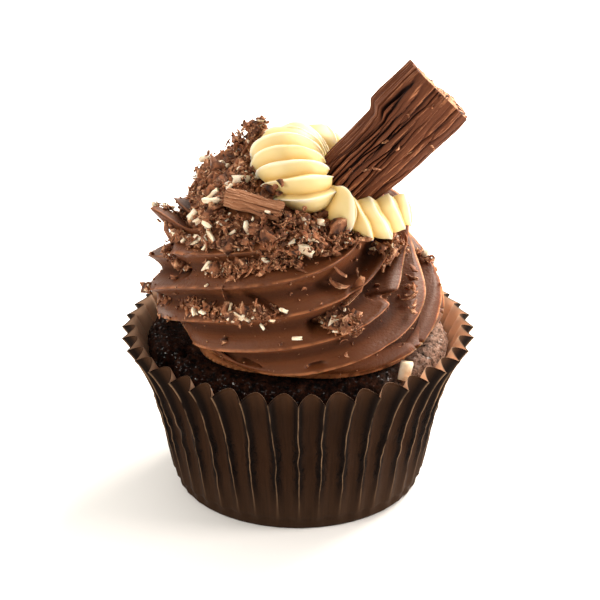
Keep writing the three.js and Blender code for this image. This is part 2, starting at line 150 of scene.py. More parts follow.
# %% [markdown]
# ## Small tools for the finishes
#
# A shader is a sum of patterns. The class below wraps one output of a node, so that patterns
# are added and multiplied as in ordinary Python while the Math nodes appear behind the scenes.
# Everything else, from noise to the final shader, comes from its one method `node`.

# %% Patterns as Python values
class Pattern:
    def __init__(self, tree, socket=None):
        self.tree = tree
        self.socket = socket

    def node(self, kind, settings=None, inputs=None, output=0):
        made = self.tree.nodes.new(kind)
        for name, value in (settings or {}).items():
            setattr(made, name, value)
        for name, value in (inputs or {}).items():
            if isinstance(value, Pattern):
                self.tree.links.new(value.socket, made.inputs[name])
            else:
                made.inputs[name].default_value = value
        return Pattern(self.tree, made.outputs[output] if made.outputs else None)

    def math(self, operation, first, second=0.0):
        return self.node("ShaderNodeMath", {"operation": operation}, {0: first, 1: second})

    def __add__(self, other):
        return self.math("ADD", self, other)

    def __sub__(self, other):
        return self.math("SUBTRACT", self, other)

    def __rsub__(self, other):
        return self.math("SUBTRACT", other, self)

    def __mul__(self, other):
        return self.math("MULTIPLY", self, other)

    __radd__ = __add__
    __rmul__ = __mul__


print("a pattern answers to + - * and to node")


# %% [markdown]
# Paper, cake and chocolate all need the same few patterns: noise stretched along a piece, a soft
# threshold, a blend of two colours, and relief. Written once as small functions, they keep every
# finish below short. Colours are given as a screen shows them, which is easier to judge by eye.

# %% Patterns that several finishes share
def screen(red, green, blue):
    """A colour given as a screen shows it, from 0 to 255, in the light that shaders reckon in."""
    return tuple((part / 255) ** 2.2 for part in (red, green, blue)) + (1.0,)


def where(start):
    return start.node("ShaderNodeTexCoord", output="Object")


def part_of(place, axis):
    """One of the three numbers of a place."""
    return place.node("ShaderNodeSeparateXYZ", None, {0: place}, output=axis)


def along_piece(start):
    return start.node("ShaderNodeUVMap", {"uv_map": UV_NAME})


def standing_out(start):
    return start.node("ShaderNodeAttribute", {"attribute_name": STANDS_OUT}, output="Fac")


def stretched(place, x, y, z=1.0):
    return place.node("ShaderNodeVectorMath", {"operation": "MULTIPLY"}, {0: place, 1: (x, y, z)})


def grain(place, per_metre, detail=4.0, roughness=0.55, distortion=0.0):
    """Noise between 0 and 1 with so many lumps to the metre."""
    return place.node("ShaderNodeTexNoise", None, {
        "Vector": place, "Scale": per_metre, "Detail": detail, "Roughness": roughness,
        "Distortion": distortion})


def window(value, low, high):
    """0 below the low end, 1 above the high end, and a soft slope between."""
    return value.node("ShaderNodeMapRange", {"interpolation_type": "SMOOTHSTEP"},
                      {"Value": value, "From Min": low, "From Max": high})


def blend(factor, first, second):
    """One colour where the factor is 0 and another where it is 1."""
    return factor.node("ShaderNodeMix", {"data_type": "RGBA"},
                       {0: factor, 6: first, 7: second}, output=2)


def bumped(height, depth_mm, strength=1.0, under=None):
    """A normal that reads a pattern from 0 to 1 as relief of the given depth."""
    inputs = {"Height": height, "Distance": depth_mm * MM, "Strength": strength}
    if under:
        inputs["Normal"] = under
    return height.node("ShaderNodeBump", None, inputs)


def start_finish(name):
    material = bpy.data.materials.new(name)
    material.use_nodes = True
    material.node_tree.nodes.clear()
    return material, Pattern(material.node_tree)


def end_finish(start, sockets):
    shader = start.node("ShaderNodeBsdfPrincipled", None, sockets)
    start.node("ShaderNodeOutputMaterial", None, {"Surface": shader})
    print("shader nodes:", len(start.tree.nodes))


print("mid brown in linear light:", [round(part, 3) for part in screen(110, 66, 42)[:3]])

# %% [markdown]
# ## Camera, floor and light
#
# The cupcake stands alone on white. A long lens from half a metre away keeps its shape calm:
# a short lens close by would make the near pleats bulge. The camera looks down a little, so
# that the ring of sponge and the open folds of the rope are seen.

# %% Camera
LENS_MM = 126
CAMERA_DISTANCE = 450
CAMERA_ELEVATION = math.radians(24.35)
LOOKS_AT = Vector((0.46, 0, 41.1))

camera = bpy.data.objects.new("camera", bpy.data.cameras.new("camera"))
camera.data.lens = LENS_MM
camera.data.sensor_width = 36
camera.data.clip_start = 0.01
backwards = Vector((0, -math.cos(CAMERA_ELEVATION), math.sin(CAMERA_ELEVATION)))
camera.location = (LOOKS_AT + backwards * CAMERA_DISTANCE) * MM
camera.rotation_euler = (math.pi / 2 - CAMERA_ELEVATION, 0, 0)
bpy.context.scene.collection.objects.link(camera)
bpy.context.scene.camera = camera
print("camera height:", round(camera.location.z / MM), "mm")

# %% [markdown]
# The floor is a plain square, so large that its edge lies beyond the view. It glows very faintly,
# which keeps it as white as the room behind it but still lets a soft shadow show.

# %% Floor
FLOOR_SIZE = 6.0

floor_paint, start = start_finish("pale_floor")
tint = grain(where(start), 3.0, detail=2.0)
end_finish(start, {
    "Base Color": blend(tint, screen(246, 245, 243), screen(248, 247, 245)),
    "Roughness": 0.85,
    "Emission Color": (1.0, 0.98, 0.95, 1.0),
    "Emission Strength": 0.04})

bm = bmesh.new()
bmesh.ops.create_grid(bm, x_segments=1, y_segments=1, size=FLOOR_SIZE / 2)
floor_mesh = bpy.data.meshes.new("floor")
bm.to_mesh(floor_mesh)
bm.free()
floor_mesh.materials.append(floor_paint)
floor = bpy.data.objects.new("floor", floor_mesh)
bpy.context.scene.collection.objects.link(floor)
print("floor:", FLOOR_SIZE, "m square")

# %% [markdown]
# The room looks evenly white to the camera. To the cupcake it shines most from behind and above,
# as a window does, so the dark front keeps its contrast. The two are told apart by whether a ray
# comes from the camera.

# %% The white room
SEEN_WHITE = 1.06
LIGHT_FROM_FRONT = 0.38
LIGHT_FROM_BEHIND = 1.2

world = bpy.data.worlds.new("white_room")
world.use_nodes = True
world.node_tree.nodes.clear()
start = Pattern(world.node_tree)
direction = start.node("ShaderNodeTexCoord", output="Generated")
towards_back = part_of(direction, "Y")
towards_top = part_of(direction, "Z")
seen = start.node("ShaderNodeLightPath", output="Is Camera Ray")
share = window(towards_back + towards_top * 0.6, -0.7, 0.9)
given = share * (LIGHT_FROM_BEHIND - LIGHT_FROM_FRONT) + LIGHT_FROM_FRONT
room = start.node("ShaderNodeBackground", None, {
    "Color": blend(seen, (1.0, 0.95, 0.88, 1.0), (1.0, 1.0, 1.0, 1.0)),
    "Strength": given + seen * (SEEN_WHITE - given)})
start.node("ShaderNodeOutputWorld", None, {"Surface": room})
bpy.context.scene.world = world
print("the room shines with", LIGHT_FROM_FRONT, "from the front and", LIGHT_FROM_BEHIND, "from behind")

# %% [markdown]
# A large lamp on the right, behind the cupcake, lights the edges of the frosting and throws a
# faint shadow towards the front left. Two weak lamps at the sides soften the dark.

# %% Lamps
def lamp(name, place, aim, size, watts, colour):
    light = bpy.data.lights.new(name, "AREA")
    light.shape = "DISK"
    light.size = size * MM
    light.energy = watts
    light.color = colour
    made = bpy.data.objects.new(name, light)
    made.location = Vector(place) * MM
    made.rotation_euler = (Vector(place) - Vector(aim)).to_track_quat("Z", "Y").to_euler()
    bpy.context.scene.collection.objects.link(made)


lamp("window_light", (300, 360, 430), (0, 0, 50), 400, 8.0, (1.0, 0.92, 0.82))
lamp("right_fill", (430, -60, 150), (10, 0, 45), 220, 2.0, (1.0, 0.92, 0.86))
lamp("left_fill", (-360, -260, 240), (0, 0, 45), 300, 1.4, (1.0, 0.95, 0.88))
bpy.context.scene.view_settings.view_transform = "Standard"
print("lamps: 3")

# %% [markdown]
# ## The paper case
#
# Greaseproof paper is dark and almost matt. Pressing leaves fine streaks along the pleats and
# rubs the creases pale, and the pale crease lines are also a painted highlight where the creases
# catch the light. The streaks are noise stretched along the UV map. The pale lines follow the
# number that says how much a point stands out, so they stay on the creases wherever those run.
# Beside the creases and in the slipped wrinkles the paper is painted darker, a painted shade in
# the folds, and near the rim a lighter brown, a painted highlight on the flare. The inside is
# painted paler, most on the right: painted light from the window shining through the paper.

# %% The finish of the paper
PLEATS = 40

paper, start = start_finish("brown_greaseproof_paper")
spot = where(start)
height_up = part_of(spot, "Z")
streaks = grain(stretched(along_piece(start), PLEATS * 9.0, 4.0), 1.0, detail=6.0, roughness=0.65)
fibres = grain(spot, 2600.0, detail=3.0)
patches = grain(spot, 160.0, detail=3.0)
edge = standing_out(start)
# Pale crease lines: partly rubbed paper, partly a painted highlight where the creases catch the light.
worn = window(edge, 0.86, 1.0) * window(patches, 0.26, 0.6) * window(height_up, 0.001, 0.016)
wrinkles = grain(stretched(along_piece(start), PLEATS * 7.0, 26.0), 1.0, distortion=1.2)
slipped = window(height_up, 0.008, 0.014) * (1 - window(height_up, 0.02, 0.027))
wrinkled = window(wrinkles, 0.5, 0.62) * slipped * window(edge, 0.1, 0.35)
low_down = 1 - window(height_up, 0.001, 0.017)
# The inside is painted paler, most on the right: painted light from the window shining through the
# paper.
inner_side = window(part_of(along_piece(start), "Y"), 0.66, 0.67)
to_the_right = window(part_of(spot, "X"), 0.012, 0.034)
inner_and_backlit_brown = blend(to_the_right, screen(186, 150, 124), screen(255, 208, 172))
brown = blend(streaks, screen(26, 15, 8), screen(58, 38, 24))
brown = blend(low_down * 0.4, brown, screen(60, 46, 36))
# Painted highlight: the paper is painted a lighter brown near the rim, where the flare meets the
# light.
brown = blend(window(height_up, 0.029, 0.037) * 0.35, brown, screen(84, 58, 40))
# Painted shade: the flutes are painted darker beside the creases, as in the folds' shadow.
painted_crease_shade = window(edge, 0.1, 0.6) * window(height_up, 0.003, 0.014)
brown = blend(painted_crease_shade * 0.85, brown, screen(14, 7, 4))
# Painted shade: the slipped wrinkles are painted nearly black on top of their dents.
brown = blend(wrinkled * 0.8, brown, screen(12, 6, 4))
brown = blend(inner_side * 0.9, brown, inner_and_backlit_brown)
end_finish(start, {
    "Base Color": blend(worn * 0.75, brown, screen(148, 118, 92)),
    "Roughness": 0.62 + patches * 0.16,
    "Specular IOR Level": 0.06,
    "Normal": bumped(fibres * 0.35 + streaks - wrinkled * 2.5, 0.1, 0.8)})

# %% [markdown]
# The case is pressed from one disc of paper. Its wall stands in forty pleats: sharp creases
# point outwards and round flutes lie between them, and all of them grow deeper towards the
# flared rim. The sponge inside will follow the same wall, so its radius and the depth of the
# pleats are small functions of the height.

# %% The wall of the case
CASE_HEIGHT = 35.5
CASE_BASE_RADIUS = 26.0
HEEL_RADIUS = 27.0
RIM_RADIUS = 38.0
FLARE = 3.5
HEEL_HEIGHT = 2.4
PLEAT_DEPTH_BASE = 0.35
PLEAT_DEPTH_RIM = 2.7
PLEAT_GROWTH = 1.1


def crease_radius(height):
    share = height / CASE_HEIGHT
    return HEEL_RADIUS + (RIM_RADIUS - FLARE - HEEL_RADIUS) * share + FLARE * share ** 5


def pleat_depth(height):
    return mix(PLEAT_DEPTH_BASE, PLEAT_DEPTH_RIM, (height / CASE_HEIGHT) ** PLEAT_GROWTH)


print("pleats at the rim, in mm deep:", round(pleat_depth(CASE_HEIGHT), 2))

# %% [markdown]
# The rule follows the paper from the middle of the base up to the rim and down again inside, so
# one grid makes both of its faces. Half way up the pressed folds have slipped: the creases kink
# and dent there. Each pleat draws its noise by its own number, which keeps neighbours different.

# %% The shape of the case
PAPER_THICKNESS = 0.32
RIM_WAVE = 1.5
CRUMPLE_HEIGHT = 17.5
CRUMPLE_SPREAD = 8
CREASE_DRIFT = 0.16
CREASE_KINK = 0.12
PLEAT_UNEVENNESS = 0.22
CREASE_DENT = 0.75
FLUTE_RIPPLE = 0.4
WALL_HEIGHT = CASE_HEIGHT - HEEL_HEIGHT
OUTER_ROWS = 46
INNER_ROWS = 24
OUTER_HEIGHTS = [0.6, 1.3, HEEL_HEIGHT]
OUTER_HEIGHTS += [HEEL_HEIGHT + WALL_HEIGHT * (row + 1) / OUTER_ROWS for row in range(OUTER_ROWS)]
INNER_HEIGHTS = [CASE_HEIGHT - WALL_HEIGHT * row / INNER_ROWS for row in range(INNER_ROWS + 1)]
CASE_LEVELS = ([(0, 0.0, 0)] + [(height, height, 0) for height in OUTER_HEIGHTS]
               + [(height, height, 1) for height in INNER_HEIGHTS] + [(1.0, 0.0, 1)])
PLEAT_COLUMNS = 12


def crease_shift(which, height, crumple):
    """How far a crease strays to the side at a height, counted in pleats."""
    which = which % PLEATS
    steady = noise.noise(Vector((3.7 * which, 0.4, height / 30)))
    kink = noise.noise(Vector((5.3 * which, height / 4.0, 1.7)))
    return CREASE_DRIFT * steady + CREASE_KINK * crumple * kink


def case_rule(u, v):
    height, wall_height, inside = CASE_LEVELS[round(v * (len(CASE_LEVELS) - 1))]
    turns = u * PLEATS
    pleat = min(int(turns + 1e-6), PLEATS - 1)
    share = turns - pleat
    crumple = bell((height - CRUMPLE_HEIGHT) / CRUMPLE_SPREAD)
    shift = mix(crease_shift(pleat, height, crumple), crease_shift(pleat + 1, height, crumple), share)
    angle = TURN * (pleat + share + shift) / PLEATS
    sharp = 1 - max(0.0, math.sin(math.pi * share)) ** 0.8
    out = mix(0.5 + 0.5 * math.cos(TURN * share), sharp, smoothstep(1, 14, height))
    if height <= HEEL_HEIGHT:
        heel = math.sqrt(max(0.0, 1 - (1 - height / HEEL_HEIGHT) ** 2))
        radius = mix(CASE_BASE_RADIUS, HEEL_RADIUS - pleat_depth(height) * (1 - out), heel)
    else:
        which = pleat if share < 0.5 else pleat + 1
        dent = noise.noise(Vector((7.9 * (which % PLEATS), height / 3.4, 4.2)))
        ripple = noise.noise(Vector((angle * 14, height / 5, 2.0)))
        deeper = 1 + PLEAT_UNEVENNESS * noise.noise(Vector((2.9 * pleat, 8.5, height / 25)))
        radius = crease_radius(wall_height) - pleat_depth(wall_height) * deeper * (1 - out)
        radius -= crumple * CREASE_DENT * out ** 2 * abs(dent)
        radius -= crumple * FLUTE_RIPPLE * ripple * (1 - out)
    wave = RIM_WAVE * (height / CASE_HEIGHT) ** 6 * (0.5 - out)
    radius -= PAPER_THICKNESS * inside
    place = Vector((radius * math.cos(angle), radius * math.sin(angle), height + wave))
    return place, out * (1 - 0.6 * inside)


bm = bent_grid(PLEATS * PLEAT_COLUMNS, len(CASE_LEVELS) - 1, case_rule)
close_up(bm)
piece("pleated_case", bm, paper, "paper", "paper_case")

# %% [markdown]
# ## The sponge
#
# Cake is a moist foam. One noise gives the pores, which colour the cake and raise its bump: the
# pits are painted nearly black, a painted shade inside them. A second one puts a thin coat on
# single spots only, and those spots become the tiny wet glints. Towards the window on the right
# the crumb is painted from nearly black to a pale brown, a painted sheen of the window light.

# %% The finish of the sponge
cake, start = start_finish("dark_moist_sponge")
spot = where(start)
pores = grain(spot, 900.0, detail=5.0, roughness=0.7)
moist = window(grain(spot, 1500.0, detail=3.0), 0.57, 0.66)
crumb_tone = grain(spot, 350.0, detail=4.0)
# Painted shade: the pits of the pores are painted nearly black.
dark = blend(window(pores, 0.38, 0.66), screen(6, 3, 2), screen(42, 22, 13))
to_the_right = window(part_of(spot, "X"), 0.014, 0.034)
# Painted sheen: towards the window on the right the crumb is painted pale, where the light grazes it.
dark = blend(to_the_right * window(pores, 0.3, 0.62) * 0.8, dark, screen(182, 148, 130))
end_finish(start, {
    "Base Color": blend(window(crumb_tone, 0.5, 0.8) * 0.5, dark, screen(74, 46, 33)),
    "Roughness": 0.85,
    "Specular IOR Level": 0.06,
    "Coat Weight": moist,
    "Coat Roughness": 0.22,
    "Normal": bumped(pores, 0.6, 1.0)})

# %% [markdown]
# The sponge shows only as a dark ring between the case and the frosting. It is a lathe shape
# whose radius follows the inside of the flutes. Its top is broken up by noise at two sizes, and
# on the left a narrow crevice runs across the ring, where the cake has cracked in the oven.

# %% The shape of the sponge
WALL_CLEARANCE = 1.0
SPONGE_EDGE = 31.4
SPONGE_CROWN = 35.6
CROWN_RADIUS = 28.0


def sponge_radius(height):
    return crease_radius(height) - pleat_depth(height) - WALL_CLEARANCE


EDGE_RADIUS = sponge_radius(SPONGE_EDGE)
SPONGE_PROFILE = [(21.6, 1.0)] + [(sponge_radius(height), height) for height in (2.8, 11, 19, 25)]
SPONGE_PROFILE += [(EDGE_RADIUS, SPONGE_EDGE)]
SPONGE_PROFILE += [(mix(EDGE_RADIUS, CROWN_RADIUS, 0.25), mix(SPONGE_EDGE, SPONGE_CROWN, 0.6))]
SPONGE_PROFILE += [(CROWN_RADIUS + 1.2, SPONGE_CROWN - 0.25), (CROWN_RADIUS - 3, SPONGE_CROWN)]
SPONGE_PROFILE += [(8.0, SPONGE_CROWN)]
SPONGE_STOPS = [0, 0.04, 0.08, 0.12, 0.16, 0.3, 0.6, 0.82, 0.95, 1]
CREVICE_ANGLE = 3.65
CREVICE_DEPTH = 3.0
CREVICE_SPREAD = 0.06
COARSE_CRUMB = 2.4
FINE_CRUMB = 1.0


def sponge_rule(u, v):
    stop = min(bisect.bisect_right(SPONGE_STOPS, v), len(SPONGE_STOPS) - 1)
    share = (v - SPONGE_STOPS[stop - 1]) / (SPONGE_STOPS[stop] - SPONGE_STOPS[stop - 1])
    radius = mix(SPONGE_PROFILE[stop - 1][0], SPONGE_PROFILE[stop][0], share)
    height = mix(SPONGE_PROFILE[stop - 1][1], SPONGE_PROFILE[stop][1], share)
    angle = TURN * u
    place = Vector((radius * math.cos(angle), radius * math.sin(angle), height))
    shown = smoothstep(26, 31, height) * smoothstep(25, 27.5, radius)
    crumbs = 0.75 * abs(lumps(place, COARSE_CRUMB, 1)) + 0.5 * abs(lumps(place, FINE_CRUMB, 2))
    crevice_at = CREVICE_ANGLE - 0.05 * lumps(place, 2.0, 3)
    crevice = CREVICE_DEPTH * bell((angle - crevice_at) / CREVICE_SPREAD)
    outward = Vector((0.6 * math.cos(angle), 0.6 * math.sin(angle), 0.8))
    return place + outward * shown * (1.3 * crumbs - 0.15 - crevice), crumbs


bm = bent_grid(420, 84, sponge_rule)
close_up(bm)
piece("chocolate_sponge", bm, cake, "sponge", "sponge")

# %% [markdown]
# ## The chocolate frosting
#
# Buttercream is smooth but not glossy. A little light enters it, which the subsurface sockets
# allow. The hollows between the ridges are duller than the lips and painted darker, a painted
# shade, and long soft streaks run the way the nozzle moved. The side away from the window is
# tinted warmer, a painted warm light, and the lips on the window's side are painted pale, a
# painted highlight where they catch the most light.

# %% The finish of the chocolate frosting
frosting_brown, start = start_finish("satin_chocolate_frosting")
spot = where(start)
edge = standing_out(start)
clouds = grain(spot, 90.0, detail=3.0)
flow = grain(stretched(along_piece(start), 5.0, 130.0), 1.0, detail=4.0, roughness=0.6)
pits = grain(spot, 1500.0, detail=3.0, roughness=0.6)
patches = grain(spot, 260.0, detail=3.0)
brown = blend(clouds * 0.55 + flow * 0.25 + pits * 0.2, screen(66, 35, 17), screen(104, 60, 35))
# Painted shade: the hollows between the ridges are painted darker.
brown = blend(window(edge, 0.0, 0.4), screen(50, 26, 14), brown)
to_the_right = window(part_of(spot, "X"), 0.004, 0.026)
# Painted warm light: the side away from the window is tinted a warmer brown.
brown = blend((1 - to_the_right) * 0.3, brown, screen(90, 47, 12))
# Painted highlight: the lips are painted pale, most on the window's side.
lit = window(edge, 0.93, 1.0) * window(patches, 0.3, 0.6) * (0.5 + to_the_right * 0.35)
end_finish(start, {
    "Base Color": blend(lit, brown, screen(186, 120, 78)),
    "Roughness": 0.82 + pits * 0.12 - window(edge, 0.2, 0.9) * 0.38,
    "Subsurface Weight": 0.25,
    "Subsurface Radius": (1.0, 0.42, 0.2),
    "Subsurface Scale": 1.2 * MM,
    "Specular IOR Level": 0.22,
    "Normal": bumped(flow + pits, 0.18, 0.85)})

# %% [markdown]
# An open star nozzle leaves ridges that wind up round the swirl like a coarse thread. The rule
# starts from a leaning dome. Eight ridges climb round it, evenly at the back and flatter over
# the front, and the distance between them grows towards the top. Each crest is a thin lip. On
# most of the swirl it overhangs, with a deep fold right below it, and at the front right the
# ridges stand up as sheets with the hollow behind them.

# %% The dome under the ridges
DOME_FOOT = 35.9
DOME_FOOT_RADIUS = 29.4
DOME_RADIUS = 32.4
DOME_HEIGHT = 35.4
DOME_BOXINESS = 2.8
DOME_LEAN = -6.4
DOME_STEPS = 400

dome = [(0.0, DOME_FOOT_RADIUS, DOME_FOOT)]
for step in range(1, DOME_STEPS + 1):
    share = math.sin(math.pi / 2 * step / DOME_STEPS)
    widest = mix(DOME_FOOT_RADIUS, DOME_RADIUS, smoothstep(0, 0.11, share))
    radius = widest * math.sqrt(max(0.0, 1 - share ** DOME_BOXINESS))
    height = DOME_FOOT + DOME_HEIGHT * share
    travelled, last_radius, last_height = dome[-1]
    travelled += math.hypot(radius - last_radius, height - last_height)
    dome.append((travelled, radius, height))
dome_lengths = [entry[0] for entry in dome]
DOME_LENGTH = dome_lengths[-1]


def dome_at(length):
    """Radius, height and outward direction of the dome at a distance along its profile."""
    upper = clamp(bisect.bisect_left(dome_lengths, length), 1, DOME_STEPS)
    (start_length, r0, z0), (end_length, r1, z1) = dome[upper - 1], dome[upper]
    share = clamp((length - start_length) / (end_length - start_length), 0, 1)
    slope = math.hypot(r1 - r0, z1 - z0)
    return mix(r0, r1, share), mix(z0, z1, share), (z1 - z0) / slope, (r0 - r1) / slope


print("dome profile:", round(DOME_LENGTH, 1), "mm from foot to top")

# %% [markdown]
# A place on the swirl is given by a direction and by the distance along the dome's profile, or
# by the same distance counted in ridges. Counted so, the crest of a ridge always lies a whole
# number above the ridge that starts at the foot, whatever the spacing. On the left one turn is
# much wider than the others: the crests above it are pushed up and those below it down.

# %% Counting in ridges
RIDGES = 8
FOOT_SPACING = 5.5
SPACING_GROWTH = 0.21
FIRST_RIDGE = 0.75
FRONT_FLATNESS = 0.11
FRONT_TILT = -0.235
BAND_ANGLE = -3.05
BAND_SPREAD = 0.6
BAND_RAISED = 2.2
BAND_LOWERED = 2.3


def climbed(angle):
    """How many ridges above the foot ridge 0 has climbed in this direction."""
    from_front = angle - FRONT
    flatter = FRONT_FLATNESS * (1 - math.cos(2 * from_front)) + FRONT_TILT * math.sin(2 * from_front)
    return FIRST_RIDGE + flatter + RIDGES * from_front / TURN


def length_at(count):
    """Distance along the dome at a height counted in ridges."""
    return count * (FOOT_SPACING + SPACING_GROWTH * abs(count))


def ridges_at(length):
    root = math.sqrt(FOOT_SPACING ** 2 + 4 * SPACING_GROWTH * length)
    return (root - FOOT_SPACING) / (2 * SPACING_GROWTH)


def wide_band(angle, count):
    """How much higher the crests lie on the left, above the widest band, or lower, below it."""
    higher = BAND_RAISED * smoothstep(3.0, 4.0, count) * smoothstep(8, 6, count)
    lower = BAND_LOWERED * smoothstep(0, 1.2, count) * smoothstep(3.4, 2.4, count)
    return (higher - lower) * bell((angle - BAND_ANGLE) / BAND_SPREAD)


print("ridges from foot to top:", round(ridges_at(DOME_LENGTH), 1))

# %% [markdown]
# No hand pipes evenly. The swirl draws in at some places and bulges at others, a heap stands on
# its top, and the mound of crumbs fills the hollows on the upper left. Each of these is a soft
# bell or step with its own few numbers, which keeps them easy to move.

# %% Where the swirl draws in, bulges or is filled
HEAP_CENTRE = (-7.5, 6)
HEAP_RADIUS = (7.5, 8)
HEAP_HEIGHT = 6.2
COVER_ON_LEFT = 33.5
COVER_IN_FRONT = 29.5
# Where the swirl as a whole draws in or bulges out: direction and its spread, distance along the
# dome and its spread in millimetres, and how far it draws in. The foot draws in, most on the
# left. The upper turn is smaller than the lower one, but its rim juts out on the left and right.
HOLLOWED = [
    (-3.1, 0.5, 0, 3, 7.0),
    (-2.6, 0.45, 4, 4.5, 5.0),
    (-3.0, 0.4, 10.5, 3.0, 1.2),
    (-3.05, 0.7, 21, 4.2, 3.4),
    (-3.05, 0.35, 29, 2.5, -7.0),
    (-3.0, 0.6, 33, 9, 5.5),
    (-3.0, 0.5, 37, 2.5, 4.5),
    (-1.8, 0.5, 0, 2.4, 2.6),
    (-0.15, 0.6, 0, 9, 1.6),
    (-0.25, 0.8, 19.6, 6.2, 4.2),
    (0.15, 0.35, 28.5, 4.5, -2.2),
]


def heap_height(x, y):
    across = (x - HEAP_CENTRE[0]) / HEAP_RADIUS[0]
    along = (y - HEAP_CENTRE[1]) / HEAP_RADIUS[1]
    return HEAP_HEIGHT * (1 - smoothstep(0.25, 1, math.hypot(across, along)))


def hollowed(angle, length):
    return sum(depth * bell((angle - middle) / spread) * bell((length - height) / tall)
               for middle, spread, height, tall, depth in HOLLOWED)


def covered(angle, length):
    """1 where the mound of crumbs fills the hollows between the ridges, 0 on bare frosting."""
    lower_edge = mix(COVER_ON_LEFT, COVER_IN_FRONT, smoothstep(-2.4, -2.05, angle))
    ends = smoothstep(-4.5, -3.9, angle) * (1 - smoothstep(-0.5, -0.15, angle))
    return smoothstep(lower_edge - 1.0, lower_edge + 1.4, length) * ends


print("places that draw in or bulge:", len(HOLLOWED))

# %% [markdown]
# Stiff buttercream tears when it is dragged, and leaves pockets where a ridge bridges the one
# below. A tear is a short slot with a flat floor along it and soft ends. A pocket only makes
# the hollow deeper that is there anyway, so it never cuts through a crest.

# %% Tears and pockets
# Tears: direction, distance along the dome, half length and half height in millimetres, tilt in
# radians and depth.
TEARS = [
    (-1.87, 5.3, 2.2, 0.38, -0.2, 2.8),
    (-1.44, 6.1, 2.0, 0.35, 0.15, 2.0),
    (-0.74, 16.6, 2.2, 0.7, 0.0, 4.0),
    (-1.36, 14.4, 3.0, 1.3, 0.15, 4.6),
    (-1.72, 19.2, 4.6, 0.6, -0.5, 2.2),
    (-2.57, 22.6, 3.0, 0.6, -0.5, 1.8),
    (-1.05, 20.5, 2.4, 0.5, 0.5, 1.2),
    (-2.5, 26.0, 3.0, 0.5, 0.3, 1.1),
]
# Pockets in the hollow between two ridges: direction and its spread, the place between the
# ridges, counted from ridge 0, and its spread, and how much deeper the hollow is there.
POCKETS = [
    (-0.42, 0.2, 0.5, 0.5, 4.6),
    (-0.78, 0.14, 1.45, 0.4, 2.0),
    (-0.14, 0.32, -0.68, 0.3, 4.6),
]


def torn(angle, length, radius):
    depth = 0.0
    for tear_angle, tear_length, half_long, half_tall, tilt, tear_depth in TEARS:
        along = (angle - tear_angle) * radius
        up = length - tear_length
        if abs(along) < 3 * half_long and abs(up) < 3 * half_long:
            a = along * math.cos(tilt) + up * math.sin(tilt)
            b = up * math.cos(tilt) - along * math.sin(tilt)
            depth += tear_depth * bell((a / half_long) ** 2) * bell(b / half_tall)
    return depth


def pocket(angle, ridge):
    return sum(depth * bell((angle - middle) / spread) * bell((ridge - place) / reach)
               for middle, spread, place, reach, depth in POCKETS)


print("tears:", len(TEARS), "and pockets:", len(POCKETS))

# %% [markdown]
# Between two crests the surface dips like half a sine wave. A power of the share, called skew
# here, moves the deepest place: above 1 it lies right under the next crest, which makes the
# overhang, and below 1 right behind the last one, which makes a sheet. Everything else is
# counted inwards from the dome and added up before the point is placed.

# %% The surface of the frosting
RIDGE_DEPTH_FOOT = 3.4
RIDGE_DEPTH_TOP = 4.6
OVERHANG_SKEW = 2.0
SHEET_SKEW = 0.62
SHEET_ANGLE = -0.5
SHEET_SPREAD = 0.7
SHEET_DEEPER = 0.4
SHALLOW_ANGLE = -1.75
SHALLOW_SPREAD = 0.6
SHALLOWER = 0.5
TOP_SLACK = 0.4
COVER_FILLS = 0.85
LIP_HEIGHT = 0.4
HOLLOW_SHADE = 1.4


def frosting_point(angle, count):
    """Place of the frosting's surface at a height counted in ridges, and how it stands out."""
    length = clamp(length_at(count) + wide_band(angle, count), 0, DOME_LENGTH - TOP_SLACK)
    radius, height, out_r, out_z = dome_at(length)
    above_crest = count - climbed(angle)
    share = clamp(above_crest - math.floor(above_crest + 1e-6), 0.0, 1.0)
    around = Vector((math.cos(angle), math.sin(angle), 0))
    spot = around * 30 + Vector((0, 0, length))
    sheet = bell((angle - SHEET_ANGLE) / SHEET_SPREAD)
    skew = mix(OVERHANG_SKEW, SHEET_SKEW, sheet)
    fade = smoothstep(0, 3.5, length) * smoothstep(2, 15, radius)
    uneven = 1 + 0.16 * math.sin(3 * angle + length / 5) + SHEET_DEEPER * sheet
    uneven += 0.18 * lumps(spot, 9, 3) - SHALLOWER * bell((angle - SHALLOW_ANGLE) / SHALLOW_SPREAD)
    cover = covered(angle, length)
    dip = math.sin(math.pi * share ** skew) ** 0.85 if 0 < share < 1 else 0.0
    dip *= 1 - COVER_FILLS * cover
    depth = mix(RIDGE_DEPTH_FOOT, RIDGE_DEPTH_TOP, length / DOME_LENGTH) * fade * uneven
    to_crest = min(share, 1 - share)
    ragged = max(0.0, lumps(spot, 2.2, 4) - 0.2) * (1.1 - sheet) * bell(to_crest / 0.07)
    lip = LIP_HEIGHT * bell(to_crest / 0.045) * (1 - cover)
    inward = (depth + pocket(angle, above_crest)) * dip + hollowed(angle, length)
    inward += (ragged - lip) * fade + torn(angle, length, radius)
    inward -= 0.12 * lumps(spot, 4.5, 5) + 0.03 * lumps(spot, 1.1, 6)
    inward -= cover * (0.9 * lumps(spot, 4.5, 7) + 0.5 * lumps(spot, 2.0, 8))
    share_up = (height - DOME_FOOT) / DOME_HEIGHT
    reach = radius - inward * out_r
    x = reach * math.cos(angle) + DOME_LEAN * share_up ** 1.5
    y = reach * math.sin(angle)
    z = height - inward * out_z + smoothstep(0.62, 0.9, share_up) * heap_height(x, y)
    return Vector((x, y, z)), 1 - dip * clamp(HOLLOW_SHADE * fade * mix(1, uneven, 0.5), 0, 1)


print("the foot at the front, in mm:", [round(part, 1) for part in frosting_point(FRONT, 0)[0]])

# %% [markdown]
# The grid's rows follow the ridges, not the height, so that every crest is a row of points and
# stays sharp. A row that would lie below the foot or above the top is gathered there, and the
# gathered points are merged. The seam runs down the back, where one turn has climbed exactly
# eight ridges, so both sides meet.

